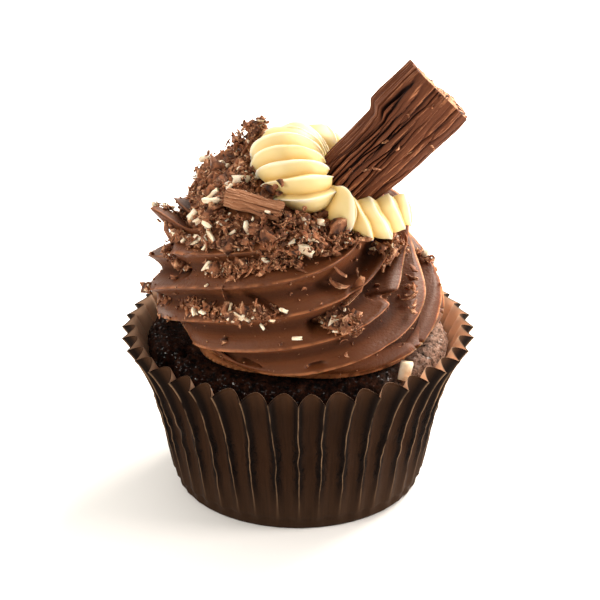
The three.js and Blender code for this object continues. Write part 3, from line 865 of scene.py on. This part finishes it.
# %% The mesh of the frosting
FROSTING_COLUMNS = 400
RIDGE_ROWS = 20
LOWEST_RIDGE = -6
HIGHEST_RIDGE = 13
HIGHEST_COUNT = ridges_at(DOME_LENGTH)


def frosting_rule(u, v):
    angle = FRONT + TURN * (u - 0.5)
    ridge = mix(LOWEST_RIDGE, HIGHEST_RIDGE, v)
    return frosting_point(angle, clamp(climbed(angle) + ridge, 0.0, HIGHEST_COUNT))


bm = bent_grid(FROSTING_COLUMNS, RIDGE_ROWS * (HIGHEST_RIDGE - LOWEST_RIDGE), frosting_rule)
close_up(bm)
piece("chocolate_swirl", bm, frosting_brown, "chocolate_frosting", "chocolate_frosting")

# %% [markdown]
# ## The vanilla rope
#
# White buttercream lets far more light through than brown. A strong subsurface share does most
# of the work here: it reaches least in the blue, so the hollows stay yellow while the thin
# edges come out nearly white. The colour helps both: the hollows are painted a deeper yellow, a
# painted shade, and the thin edges are painted paler, a painted highlight.

# %% The finish of the vanilla frosting
vanilla, start = start_finish("vanilla_frosting")
spot = where(start)
edge = standing_out(start)
clouds = grain(spot, 120.0, detail=2.0)
pits = grain(spot, 1700.0, detail=2.0)
# Painted shade: the hollows of the folds are painted a deeper yellow.
cream = blend(window(edge, 0.1, 0.9), screen(206, 168, 96), screen(214, 194, 138))
end_finish(start, {
    # Painted highlight: the thin edges of the folds are painted nearly white.
    "Base Color": blend(window(edge, 0.8, 1.0), cream, screen(234, 222, 198)),
    "Roughness": 0.42 + clouds * 0.12,
    "Subsurface Weight": 0.45,
    "Subsurface Radius": (1.0, 0.82, 0.36),
    "Subsurface Scale": 1.8 * MM,
    "Specular IOR Level": 0.4,
    "Normal": bumped(pits, 0.04, 0.5)})

# %% [markdown]
# The rope is piped round the foot of the stick, and the nozzle leaves leaf-like folds across it.
# Each fold's edge is a ring with a centre, a radius and the way it faces. The tail lies across
# the front of the stick, and the coil climbs on its left and ends behind it.

# %% The rings of the rope
ROPE_TAIL = [
    ((23.6, -5.2, 61.6), 2.0, (-0.91, -0.1, 0.15)),
    ((22.8, -6.4, 64.4), 3.4, (-0.92, -0.1, -0.15)),
    ((20.4, -8.6, 65.0), 4.1, (-0.9, -0.15, -0.4)),
    ((17.0, -11.0, 64.6), 4.9, (-0.88, -0.2, -0.42)),
    ((13.1, -13.0, 65.3), 5.2, (-0.9, -0.25, -0.36)),
    ((9.0, -14.0, 67.6), 4.8, (-0.8, -0.55, 0.1)),
    ((5.3, -13.2, 68.3), 4.2, (-0.8, -0.1, 0.3)),
]
ROPE_COIL = [
    ((3.2, -12.4, 67.2), 4.6, (-0.14, -0.15, 0.97)),
    ((1.6, -11.2, 70.2), 6.9, (-0.14, 0.17, 0.97)),
    ((-0.2, -10.0, 72.2), 7.5, (-0.12, 0.45, 0.88)),
    ((-1.0, -7.5, 73.2), 7.5, (-0.04, 0.64, 0.77)),
    ((-1.9, -4.5, 73.6), 7.8, (0.03, 0.8, 0.6)),
    ((-2.2, -1.0, 74.2), 7.7, (0.05, 0.87, 0.48)),
    ((-1.0, 3.0, 74.2), 7.0, (0.25, 0.86, 0.42)),
    ((1.7, 7.0, 73.0), 6.2, (0.6, 0.75, 0.2)),
    ((5.6, 9.5, 71.8), 5.4, (0.85, 0.5, -0.1)),
    ((9.4, 10.2, 70.4), 4.0, (0.95, 0.2, -0.3)),
]
print("folds:", len(ROPE_TAIL), "in the tail and", len(ROPE_COIL), "in the coil")

# %% [markdown]
# A smooth curve through the centres gives the middle of the rope. From ring to ring the surface
# rises slowly to a thin edge and then drops into the next groove. The groove lies close to one
# of the two edges, and noise makes every fold waver, as a hand does.

# %% The shape of the rope
COIL_GROOVE_AT = 0.18
TAIL_GROOVE_AT = 0.82
ROPE_GROOVE = 0.22
FOLD_WAVER = 0.16
ROPE_SIDES = 96
ROWS_PER_FOLD = 26


def between(knots, place):
    """Centre, radius and facing at a place counted in folds, on a curve through the knots."""
    index = min(int(place), len(knots) - 2)
    t = place - index
    p0, p1, p2, p3 = (Vector(knots[clamp(index + step, 0, len(knots) - 1)][0])
                      for step in (-1, 0, 1, 2))
    centre = 0.5 * (2 * p1 + (p2 - p0) * t + (2 * p0 - 5 * p1 + 4 * p2 - p3) * t * t
                    + (3 * p1 - p0 - 3 * p2 + p3) * t ** 3)
    _, radius, facing = knots[index]
    _, next_radius, next_facing = knots[index + 1]
    facing = Vector(facing).lerp(Vector(next_facing), smoothstep(0, 1, t)).normalized()
    return centre, mix(radius, next_radius, t), facing


def rope_rule(knots, groove_at):
    folds = len(knots) - 1

    def rule(u, v):
        place = v * folds
        centre, radius, facing = between(knots, place)
        side = facing.cross(Vector((0.3, -0.6, 0.7))).normalized()
        above = side.cross(facing)
        angle = TURN * u
        ruffle = Vector((place // 1 * 3.1, 1.3 * math.cos(angle), 1.3 * math.sin(angle)))
        wave = place + FOLD_WAVER * noise.noise(ruffle)
        share = wave - math.floor(wave)
        down = share / groove_at if share < groove_at else (1 - share) / (1 - groove_at)
        height = max(0.0, 1 - down) ** 0.62
        lip = bell((down - 0.02) / 0.1)
        ends = math.sin(math.pi * clamp(v * folds * 0.8, 0, 0.5)) ** 0.5
        ends *= math.sin(math.pi * clamp((1 - v) * folds * 0.8, 0, 0.5)) ** 0.5
        uneven = 1 + 0.05 * noise.noise(ruffle + Vector((9.0, 0, 0)))
        radius *= (1 - ROPE_GROOVE * (1 - height) + 0.025 * lip) * max(ends, 0.02) * uneven
        spread = side * math.cos(angle) + above * math.sin(angle)
        return centre + spread * radius, height

    return rule


bm = bent_grid(ROPE_SIDES, ROWS_PER_FOLD * (len(ROPE_TAIL) - 1), rope_rule(ROPE_TAIL, TAIL_GROOVE_AT))
close_up(bm)
coil = bent_grid(ROPE_SIDES, ROWS_PER_FOLD * (len(ROPE_COIL) - 1),
                 rope_rule(ROPE_COIL, COIL_GROOVE_AT))
close_up(coil)
coil_mesh = bpy.data.meshes.new("coil")
coil.to_mesh(coil_mesh)
coil.free()
bm.from_mesh(coil_mesh)
bpy.data.meshes.remove(coil_mesh)
piece("vanilla_rope", bm, vanilla, "vanilla_frosting", "vanilla_frosting")

# %% [markdown]
# ## The flaked stick
#
# Flaked chocolate is dry and matt. Threads of noise run along the bar, the cracks are painted
# nearly black, a painted shade, and the edges of the folds are pale: partly rubbed, partly a
# painted highlight. The broken end is painted pale too, a painted highlight of the light behind
# it. The broken piece is paler, so one function makes both finishes from their colours.

# %% The finishes of the flaked chocolate
def flake_finish(name, dark, light, rubbed_and_lit_edge, rubbed_and_lit_share):
    material, start = start_finish(name)
    edge = standing_out(start)
    threads = grain(stretched(along_piece(start), 150.0, 8.0), 1.0, detail=6.0, roughness=0.7)
    clouds = grain(where(start), 200.0, detail=3.0)
    brown = blend(clouds, dark, light)
    # Painted shade: the cracks and the gaps between the layers are painted nearly black.
    brown = blend(window(edge, 0.1, 0.8), screen(34, 16, 9), brown)
    # Pale fold edges: partly rubbed chocolate, partly a painted highlight.
    worn = window(edge, 0.9, 1.0) * window(threads, 0.45, 0.65)
    brown = blend(worn * rubbed_and_lit_share, brown, rubbed_and_lit_edge)
    end_finish(start, {
        # Painted highlight: the broken end, where the number lies above 1, is painted pale.
        "Base Color": blend(window(edge, 1.05, 1.5), brown, screen(212, 160, 124)),
        "Roughness": 0.5 + threads * 0.2,
        "Specular IOR Level": 0.2,
        "Normal": bumped(threads, 0.4, 0.8)})
    return material


flake = flake_finish("flaked_milk_chocolate", screen(82, 45, 27), screen(110, 63, 39),
                     screen(186, 122, 84), 0.8)
pale_flake = flake_finish("pale_flaked_chocolate", screen(140, 90, 62), screen(178, 124, 90),
                          screen(226, 176, 138), 0.8)

# %% [markdown]
# Flaked chocolate is rolled while it is still soft, so it gathers in long folds like a pushed
# curtain. Layers lap over each other round the bar: each starts deep and rises to its edge. The
# cracks wander along it, each with its own width, depth and reach, and both cut into the same
# side, so their depths are added.

# %% Layers and cracks of a flaked bar
LAYER_WANDER = 0.7
CRACK_SWAY = 0.02


def make_cracks(count, seed):
    """Where each crack runs: share of the girth, half width, depth, its middle and its reach."""
    draw = random.Random(seed)
    cracks = []
    for index in range(count):
        cracks.append(((index + draw.uniform(0.1, 0.9)) / count, draw.uniform(0.08, 0.24),
                       draw.uniform(0.35, 1.2), draw.uniform(0.05, 0.95),
                       draw.uniform(0.12, 0.5), draw.uniform(0, 50)))
    return cracks


def layer_depth(bar, u, share):
    """How far the lapped layers lie below the bar's outline at a place on its side."""
    c, s = math.cos(TURN * u), math.sin(TURN * u)
    around = Vector((c * 1.7, s * 1.7, share * 2.1 + bar["seed"]))
    wander = LAYER_WANDER * noise.noise(around) + 0.25 * noise.noise(around * 3.1)
    layer = u * bar["layers"] + wander
    share_of_layer = layer - math.floor(layer)
    lift = noise.noise(Vector((math.floor(layer) % bar["layers"] * 4.7, share * 2.6, 1.5)))
    return max(0.0, bar["layer_step"] * (0.55 + lift) * (1 - share_of_layer) ** 1.6)


def crack_depth(crack, u, share, girth):
    at, wide, deep, middle, reach, seed = crack
    sway = noise.noise(Vector((seed, share * 2.4, 0)))
    sway += 0.35 * noise.noise(Vector((seed, share * 9, 4.0)))
    gap = (u - at - CRACK_SWAY * sway + 0.5) % 1.0 - 0.5
    here = bell(((share - middle) / reach) ** 2)
    return deep * here * bell(gap * girth / wide)


stick_cracks = make_cracks(64, 5)
piece_cracks = make_cracks(10, 8)
print("cracks:", len(stick_cracks), "on the stick and", len(piece_cracks), "on the piece")

# %% [markdown]
# The bar itself is a rounded rectangle swept from its foot to its tip. On one side it steps in
# at a shoulder, where an outer fold has come off, and on the other it tapers. The last rows of
# the grid run inwards over the broken end, where the folds stand open like the pages of a book.

# %% The shape of a flaked bar
CAP_ROWS = 12
BAR_BOXINESS = 3.4
GIRTH_SHARE = 0.86
FINE_RELIEF = 0.13


def narrower_by(bar, share, side):
    """How far the shoulder on one side, or the taper on the other, draws the bar in."""
    if bar["shoulder"] and side < -0.3:
        below = 1 - smoothstep(bar["shoulder"] - 0.04, bar["shoulder"] + 0.03, share)
        return bar["shoulder_step"] * below * smoothstep(0.3, 0.8, -side)
    if side > 0:
        return bar["taper"] * (1 - smoothstep(0, 0.9, share)) * smoothstep(0, 0.5, side)
    return 0.0


def bar_rule(bar, cracks):
    foot, tip = Vector(bar["from"]), Vector(bar["to"])
    ahead = (tip - foot).normalized()
    across = Vector((ahead.z, 0, -ahead.x)).normalized()
    deep = ahead.cross(across)
    girth = 2 * (bar["width"] + bar["depth"]) * GIRTH_SHARE
    rows = bar["rows"]
    body_rows = rows - CAP_ROWS

    def rule(u, v):
        row = round(v * rows)
        share = min(row, body_rows) / body_rows
        towards_middle = max(0, row - body_rows) / CAP_ROWS
        angle = TURN * u
        c, s = math.cos(angle), math.sin(angle)
        boxy = (abs(c) ** BAR_BOXINESS + abs(s) ** BAR_BOXINESS) ** (-1 / BAR_BOXINESS)
        depth = layer_depth(bar, u, share)
        for crack in cracks:
            depth += crack_depth(crack, u, share, girth)
        depth = min(depth, bar["deepest"])
        fine = FINE_RELIEF * noise.noise(Vector((u * girth * 2.2, share * 7, bar["seed"])))
        worn = bar["swell"] * noise.noise(Vector((c * 1.1, s * 1.1, share * 3.5 + bar["seed"])))
        out = fine + worn - depth
        wide = (bar["width"] / 2 * boxy + out - narrower_by(bar, share, c)) * c
        thick = (bar["depth"] / 2 * boxy + out) * s
        shrink = 1 - towards_middle
        wide, thick = wide * shrink, thick * shrink
        folds = abs(noise.noise(Vector((wide * 0.55, thick * 1.1, bar["seed"]))))
        hollow = smoothstep(0.12, 0.4, towards_middle) * -bar["open"] * smoothstep(0, 0.3, folds)
        broken = 0.5 * math.sin(2 * angle + 1) + 0.5 * noise.noise(Vector((c * 3, s * 3, 7.0)))
        broken += 0.35 * noise.noise(Vector((c * 9, s * 9, 2.0))) + bar["far_lip"] * s
        along = (broken * shrink if row >= body_rows else 0.0) + hollow
        place = foot.lerp(tip, share) + across * wide + deep * thick + ahead * along
        # The finish paints low numbers as shade in the cracks, and the broken end, above 1, as a pale
        # highlight.
        if towards_middle == 0:
            return place, clamp(1 - depth / 0.9, 0, 1)
        return place, 1.6 * clamp(1.1 - smoothstep(0, 0.25, folds), 0, 1)

    return rule


STICK = {"from": (5.9, -4.6, 65.1), "to": (28.8, 2, 87.8), "width": 16.8, "depth": 12.6,
         "layers": 27, "layer_step": 0.7, "shoulder": 0.65, "shoulder_step": 1.7,
         "taper": 2.6, "deepest": 1.8, "swell": 0.5, "open": 1.3, "far_lip": 0.9, "seed": 3.0,
         "rows": 180}
PIECE = {"from": (-14.4, -14.8, 70.8), "to": (-3.2, -19, 69), "width": 3.7, "depth": 3.2,
         "layers": 17, "layer_step": 0.45, "shoulder": 0, "shoulder_step": 0, "taper": 0,
         "deepest": 0.8, "swell": 0.5, "open": 0.8, "far_lip": 0, "seed": 9.0, "rows": 80}
# The flap on the stick's upper left stands off from the rest, with a deep gap behind it.
FLAP_GAP = (0.63, 0.35, 1.8, 0.76, 0.13, 2.0)

bm = bent_grid(440, STICK["rows"], bar_rule(STICK, stick_cracks + [FLAP_GAP]))
close_up(bm)
piece("flaked_chocolate_stick", bm, flake, "milk_chocolate", "flaked_stick")

bm = bent_grid(200, PIECE["rows"], bar_rule(PIECE, piece_cracks))
close_up(bm)
piece("broken_flaked_piece", bm, pale_flake, "milk_chocolate", "flaked_piece")

# %% [markdown]
# ## Crumbs, shavings and white chips
#
# Grated chocolate covers the upper left like a mound, and lies in clusters on the ledges of the
# ridges. Its crumbs are painted with a dark and a light side: corners that stand out are painted
# paler, a painted highlight, their hollows darker, a painted shade, and fine noise breaks that up
# further. White chocolate is the same recipe in cream colours.

# %% The finishes of the crumbs
def crumb_finish(name, hollow, dark, light, lit):
    material, start = start_finish(name)
    spot = where(start)
    edge = standing_out(start)
    tone = grain(spot, 500.0, detail=2.0)
    fine = grain(spot, 2600.0, detail=4.0, roughness=0.7)
    colour = blend(window(tone, 0.3, 0.7), dark, light)
    # Painted shade: the hollows of a crumb are painted darker.
    colour = blend(window(edge, 0.0, 0.5), hollow, colour)
    end_finish(start, {
        # Painted highlight: corners that stand out are painted pale.
        "Base Color": blend(window(edge + fine, 1.15, 1.5) * 0.8, colour, lit),
        "Roughness": 0.55 + fine * 0.2,
        "Specular IOR Level": 0.3,
        "Subsurface Weight": 0.15,
        "Subsurface Radius": (1.0, 0.45, 0.25),
        "Subsurface Scale": 0.5 * MM,
        "Normal": bumped(fine, 0.25, 0.9)})
    return material


grated = crumb_finish("grated_chocolate", screen(34, 17, 9), screen(82, 47, 28),
                      screen(150, 94, 62), screen(224, 168, 126))
white_chocolate = crumb_finish("white_chocolate", screen(206, 176, 140), screen(228, 204, 170),
                               screen(246, 230, 204), screen(255, 248, 232))

# %% [markdown]
# A crumb is only a few pixels wide, so a few dozen faces are enough. Grains are small balls,
# chunks are blocks, slivers are stretched blocks and curls are bent strips with a thickness.
# Some of each kind, with their corners pushed about, give variety to thousands of copies.

# %% The shapes of the crumbs
def as_shape(name, bm, heights):
    """Keeps a small shape as a mesh, with how far each of its corners stands out."""
    stands_out = bm.verts.layers.float.new(STANDS_OUT)
    for vert, height in zip(bm.verts, heights):
        vert[stands_out] = height
    bmesh.ops.recalc_face_normals(bm, faces=bm.faces[:])
    mesh = bpy.data.meshes.new(name)
    bm.to_mesh(mesh)
    bm.free()
    return mesh


def crumb_shape(seed, blocky, jagged, sides=(1, 1, 1)):
    """A crumb about one across: a small ball or block with its corners pushed about."""
    bm = bmesh.new()
    if blocky:
        bmesh.ops.create_cube(bm, size=0.8)
        bmesh.ops.subdivide_edges(bm, edges=bm.edges[:], cuts=1, use_grid_fill=True)
    else:
        bmesh.ops.create_icosphere(bm, subdivisions=1, radius=0.5)
    draw = random.Random(seed)
    heights = []
    for vert in bm.verts:
        reach = draw.uniform(-1, 1)
        shake = Vector((draw.uniform(-1, 1), draw.uniform(-1, 1), draw.uniform(-1, 1)))
        pushed = vert.co * (1 + jagged * reach) + shake * 0.3 * jagged
        vert.co = Vector(side * part for side, part in zip(sides, pushed))
        heights.append(0.5 + 0.5 * reach)
    return as_shape("crumb", bm, heights)


def curl_shape(seed, curl):
    """A ragged strip about one long that curls up and twists, as a grater leaves it."""
    bm = bmesh.new()
    bmesh.ops.create_grid(bm, x_segments=5, y_segments=1, size=0.5)
    draw = random.Random(seed)
    twist = draw.uniform(-1.6, 1.6)
    for vert in bm.verts:
        along = vert.co.x
        side = vert.co.y * (0.42 - 0.5 * abs(along)) * draw.uniform(0.6, 1.4)
        turn = twist * along
        bent = curl * along
        reach = math.sin(bent) / curl
        lift = (1 - math.cos(bent)) / curl
        vert.co = Vector((reach, side * math.cos(turn), lift + side * math.sin(turn)))
    bmesh.ops.solidify(bm, geom=bm.faces[:], thickness=0.07)
    return as_shape("curl", bm, [draw.uniform(0.3, 1.0) for _ in bm.verts])


grains = [crumb_shape(seed, False, 0.42) for seed in range(14)]
chunks = [crumb_shape(seed, True, 0.38) for seed in range(20, 36)]
slivers = [crumb_shape(seed, seed % 3 > 0, 0.2, (1.5, 0.8, 0.65)) for seed in range(70, 84)]
block = crumb_shape(90, True, 0.05)
curls = [curl_shape(seed, 0.4 + 0.35 * (seed % 9)) for seed in range(40, 58)]
print("crumb shapes:", len(grains + chunks + slivers + curls + [block]))

# %% [markdown]
# A ray lays things on a bent surface: it starts outside, runs towards the cupcake, and tells
# where it meets a piece and which way that face looks. A copy of a small shape is turned to
# lie there and joined to one mesh, which is far lighter than thousands of objects. In the
# mound the copies lie in layers, which leaves dark pockets between them.

# %% Where crumbs come to rest
SUPPORTS = ["chocolate_swirl", "vanilla_rope", "flaked_chocolate_stick", "broken_flaked_piece"]


def lands(start_mm, direction):
    """Where a straight line first meets one of the pieces, and which way that surface faces."""
    hits = []
    for name in SUPPORTS:
        place, normal, _, distance = surfaces[name].ray_cast(Vector(start_mm) * MM, direction)
        if place is not None:
            hits.append((distance, name, place, normal))
    if not hits:
        return None
    _, name, place, normal = min(hits, key=lambda hit: hit[0])
    return name, place, normal


def from_front(x, z):
    """What a crumb finds that comes straight from the front at this place."""
    return lands((x, -80, z), Vector((0, 1, 0)))


def over_frosting(angle, length):
    """The frosting as a crumb finds it that falls on it straight from outside."""
    _, _, out_r, out_z = dome_at(length)
    outward = Vector((math.cos(angle) * out_r, math.sin(angle) * out_r, out_z + 0.25)).normalized()
    place, _ = frosting_point(angle, ridges_at(length))
    found = lands(place + outward * 9, -outward)
    if found and found[0] == "chocolate_swirl":
        return found
    return None


def join_copy(bm, shape, placing):
    """Joins a copy of a small shape to the mesh, placed by a matrix."""
    copy = shape.copy()
    copy.transform(placing)
    bm.from_mesh(copy)
    bpy.data.meshes.remove(copy)


def set_down(bm, shape, found, size, lift, draw):
    """Joins a turned and sized copy of a shape to the mesh. Only upward faces carry a pile."""
    _, place, normal = found
    if normal.z < 0:
        lift = 0.0
    turn = normal.to_track_quat("Z", "Y").to_matrix().to_4x4()
    spin = Matrix.Rotation(draw.uniform(0, TURN), 4, "Z")
    tip = Matrix.Rotation(draw.gauss(0, 0.7), 4, "X") @ Matrix.Rotation(draw.gauss(0, 0.5), 4, "Y")
    scale = Matrix.Diagonal((size * draw.uniform(0.75, 1.35) * MM, size * draw.uniform(0.7, 1.1) * MM,
                             size * draw.uniform(0.6, 1.0) * MM, 1))
    lifted = Matrix.Translation(place + normal * (0.25 * size + lift) * MM)
    join_copy(bm, shape, lifted @ turn @ spin @ tip @ scale)


print("crumbs can lie on:", ", ".join(SUPPORTS))

# %% [markdown]
# Crumbs are strewn by direction and by distance along the dome. The mound has its own rule,
# `covered`, and each cluster lies round a short line on its ledge.

# %% Where the crumbs are strewn
MOUND_PILE = 2.2
MOUND_UNEVENNESS = 3.5
MOUND_LUMP = 5.2
DUST_REACH = 44
# Clusters: where their line starts and ends, as direction and distance along the dome, their
# spread in millimetres, how many crumbs, and how high they are piled.
CLUSTERS = [
    ((-2.2, 24.4), (-1.4, 28.9), 0.9, 420, 1.0),
    ((-2.4, 15.2), (-1.65, 17.2), 0.7, 190, 0.6),
    ((-2.85, 26.4), (-2.1, 30.6), 0.6, 220, 0.7),
    ((-3.0, 21.0), (-2.6, 21.6), 0.6, 110, 0.8),
    ((-2.95, 12.6), (-2.8, 13.2), 0.5, 50, 0.6),
    ((-3.1, 31.4), (-2.75, 32.6), 0.5, 180, 1.4),
    ((-1.33, 13.9), (-1.12, 13.3), 0.8, 190, 1.4),
    ((-0.58, 24.3), (-0.5, 25.2), 0.6, 220, 2.6),
    ((-0.24, 23.2), (-0.14, 24.8), 0.7, 180, 1.9),
    ((-0.46, 11.4), (-0.26, 12.4), 0.7, 150, 1.6),
    ((0.12, 14.4), (0.2, 15.2), 0.7, 90, 1.4),
    ((-3.5, 26.5), (-3.1, 27.5), 1.0, 60, 0.6),
    ((0.6, 25.0), (2.2, 33.0), 2.5, 160, 0.8),
    ((-4.42, 51.5), (-4.2, 50.5), 0.7, 200, 3.2),
]


def strewn(draw, mound_count, cluster_share, dust_count):
    """Goes through the places of crumbs: in the mound, in clusters, and singly on the faces."""
    for _ in range(mound_count):
        angle, length = draw.uniform(-4.4, -0.2), draw.uniform(26, DOME_LENGTH - 3)
        radius = dome_at(length)[0]
        if draw.random() < covered(angle, length) * radius / 32:
            found = over_frosting(angle, length)
            if found:
                heaped = MOUND_UNEVENNESS * lumps(found[1] / MM, MOUND_LUMP, 9)
                piled = max(0.3, MOUND_PILE + heaped)
                yield found, piled * draw.random() ** 1.5, 1.0
    for (angle, length), (to_angle, to_length), spread, count, piled in CLUSTERS:
        for _ in range(round(count * cluster_share)):
            t = draw.random()
            found = over_frosting(mix(angle, to_angle, t) + draw.gauss(0, spread / 40),
                                  mix(length, to_length, t) + draw.gauss(0, spread))
            if found:
                yield found, piled * draw.random() ** 1.5, 0.8
    for _ in range(dust_count):
        found = over_frosting(draw.uniform(-math.pi, math.pi), DUST_REACH * draw.random() ** 0.8)
        if found:
            yield found, 0.0, 0.45


print("clusters:", len(CLUSTERS))

# %% [markdown]
# Most of what lies on the cupcake is fine grain, with a larger chunk now and then. A draw that
# is raised to a power makes small sizes common and large ones rare, as grating does.

# %% Grains and chunks
CHUNK_SHARE = 0.12
# A few grains stick to the lower left of the vanilla coil: their place as seen from the front,
# and their size.
ROPE_SPECKS = [(-5.3, 72.5, 2.4), (-3.4, 74.5, 1.4), (-4.2, 73.2, 1.2), (-3.5, 72.0, 1.5),
               (1.3, 69.4, 1.1)]

draw = random.Random(41)
bm = bmesh.new()
for found, lift, scale in strewn(draw, mound_count=6400, cluster_share=0.8, dust_count=800):
    if draw.random() < CHUNK_SHARE * scale:
        size = mix(1.4, 3.8, draw.random() ** 2)
        set_down(bm, draw.choice(chunks), found, size * scale, lift * 0.5, draw)
    else:
        size = mix(0.45, 1.4, draw.random() ** 1.4)
        set_down(bm, draw.choice(grains), found, size * scale, lift, draw)
for x, z, size in ROPE_SPECKS:
    set_down(bm, draw.choice(grains), from_front(x, z), size, 0.0, draw)
piece("grated_crumbs", bm, grated, "milk_chocolate", "chocolate_frosting")

# %% [markdown]
# The grater also leaves thin curls. Most are strewn like the grains. Some long shavings span
# from one ridge to the next, a few small curls stick to the flaked stick, and a loose bunch
# clings to the sheets on the right. These have places of their own.

# %% Curls and shavings
# Single long shavings: direction, distance along the dome and height over it in millimetres, for
# both ends, and the width.
SHAVINGS = [
    ((-1.2, 16.0, 1.2), (-0.87, 23.5, 3.3), 2.2),
    ((-3.0, 22.5, 0.8), (-2.9, 27.5, 1.0), 1.2),
    ((-1.22, 24.0, 1.2), (-1.05, 20.6, 1.0), 2.2),
    ((-1.16, 29.2, 1.4), (-1.04, 23.0, 2.6), 1.6),
    ((-1.5, 27.2, 1.6), (-1.22, 25.0, 2.0), 1.4),
    ((-2.02, 21.9, 0.7), (-2.02, 18.6, 0.9), 1.1),
    ((-0.64, 18.6, 1.4), (-0.5, 15.8, 1.4), 1.8),
    ((-0.18, 24.6, 1.4), (0.02, 23.4, 1.6), 1.2),
]


def lay_between(bm, shape, ends, width):
    """Joins a copy of a shape to the mesh, stretched from one end to the other."""
    places = []
    for angle, length, off in ends:
        outward = Vector((math.cos(angle), math.sin(angle), 0.5)).normalized()
        places.append(frosting_point(angle, ridges_at(length))[0] + outward * off)
    along = places[1] - places[0]
    turn = along.to_track_quat("X", "Z").to_matrix().to_4x4()
    size = Matrix.Diagonal((along.length * MM, 3 * width * MM, 1.2 * width * MM, 1))
    join_copy(bm, shape, Matrix.Translation((places[0] + places[1]) / 2 * MM) @ turn @ size)


# The stick leans half way, so a step to its side goes as far down as it goes to the right.
SIDE_STEP = 0.7
# Small curls that stick to the stick's face: the share of its length and millimetres aside.
STICK_CURLS = [(0.8, -2.3), (0.58, -1.6), (0.61, 1.4), (0.63, 3.6), (0.3, -3.5), (0.37, -1.0),
               (0.75, 6.2), (0.94, -0.6), (0.42, 0.8)]
# A loose bunch of curls clings to the outer sheets: their places as seen from the front.
SHEET_CURLS = [(23.2, 46.6), (23.6, 45.8), (23.9, 47.0), (24.3, 46.3), (23.5, 47.7), (24.4, 47.6),
               (23.0, 47.4), (23.9, 48.6), (24.2, 45.6), (24.6, 49.6)]

draw = random.Random(52)
bm = bmesh.new()
for start_end, far_end, width in SHAVINGS:
    lay_between(bm, draw.choice(curls[:4]), (start_end, far_end), width)
for share, aside in STICK_CURLS:
    spot = Vector(STICK["from"]).lerp(Vector(STICK["to"]), share)
    found = from_front(spot.x + SIDE_STEP * aside, spot.z - SIDE_STEP * aside)
    set_down(bm, draw.choice(curls), found, 1.8, 0.0, draw)
for x, z in SHEET_CURLS:
    set_down(bm, draw.choice(curls), from_front(x, z), 3.2, 0.5, draw)
for found, lift, scale in strewn(draw, mound_count=4600, cluster_share=0.6, dust_count=90):
    size = mix(1.0, 3.4, draw.random() ** 1.8)
    set_down(bm, draw.choice(curls), found, size * (0.4 + 0.6 * scale), 0.8 * lift + 0.1, draw)
piece("chocolate_shavings", bm, grated, "milk_chocolate", "chocolate_frosting")

# %% [markdown]
# White chips draw the eye, so the larger ones have places of their own as well. Finer ones are
# strewn among the crumbs, by the same rule and with far fewer draws.

# %% White chips
CHIP_SCALE = 0.72
# Chips that are big enough to be told apart: direction, distance along the dome and size.
CHIPS = [
    (-0.75, 38.6, 3.0), (-1.26, 32.6, 3.4), (-1.77, 37.6, 2.8), (-2.40, 29.2, 2.6),
    (-2.14, 31.6, 2.8), (-2.2, 31.0, 2.0), (-2.3, 30.4, 2.2), (-2.8, 35.2, 2.6),
    (-3.1, 33.0, 2.8), (-2.95, 34.4, 2.2), (-1.89, 15.4, 2.3), (-1.76, 14.4, 2.0),
    (-2.16, 15.0, 1.9), (-1.54, 11.9, 1.9), (-1.6, 16.8, 2.0), (-1.12, 18.2, 1.6),
    (-1.0, 33.5, 1.6), (-1.5, 35.0, 1.4), (-2.6, 27.8, 1.8), (-2.5, 29.0, 1.5),
    (-1.06, 34.9, 3.8),
]
# One more chip has slipped down beside the frosting and stands on end by the rim of the case.
CHIP_BY_RIM = (22.1, -23.0, 35.6)
CHIP_SIDES = [3.0, 2.2, 4.8]
CHIP_TILT = 0.2

draw = random.Random(63)
bm = bmesh.new()
for angle, length, size in CHIPS:
    found = over_frosting(angle, length)
    if found:
        set_down(bm, draw.choice(slivers), found, size * CHIP_SCALE, 1.0, draw)
standing = Matrix.Translation(Vector(CHIP_BY_RIM) * MM) @ Matrix.Rotation(CHIP_TILT, 4, "Y")
join_copy(bm, block, standing @ Matrix.Diagonal([side * MM for side in CHIP_SIDES] + [1]))
for found, lift, scale in strewn(draw, mound_count=520, cluster_share=0.06, dust_count=26):
    size = mix(0.5, 2.4, draw.random() ** 2.2)
    set_down(bm, draw.choice(slivers), found, size * scale, lift + 0.3, draw)
piece("white_chocolate_chips", bm, white_chocolate, "vanilla_frosting", "chocolate_frosting")
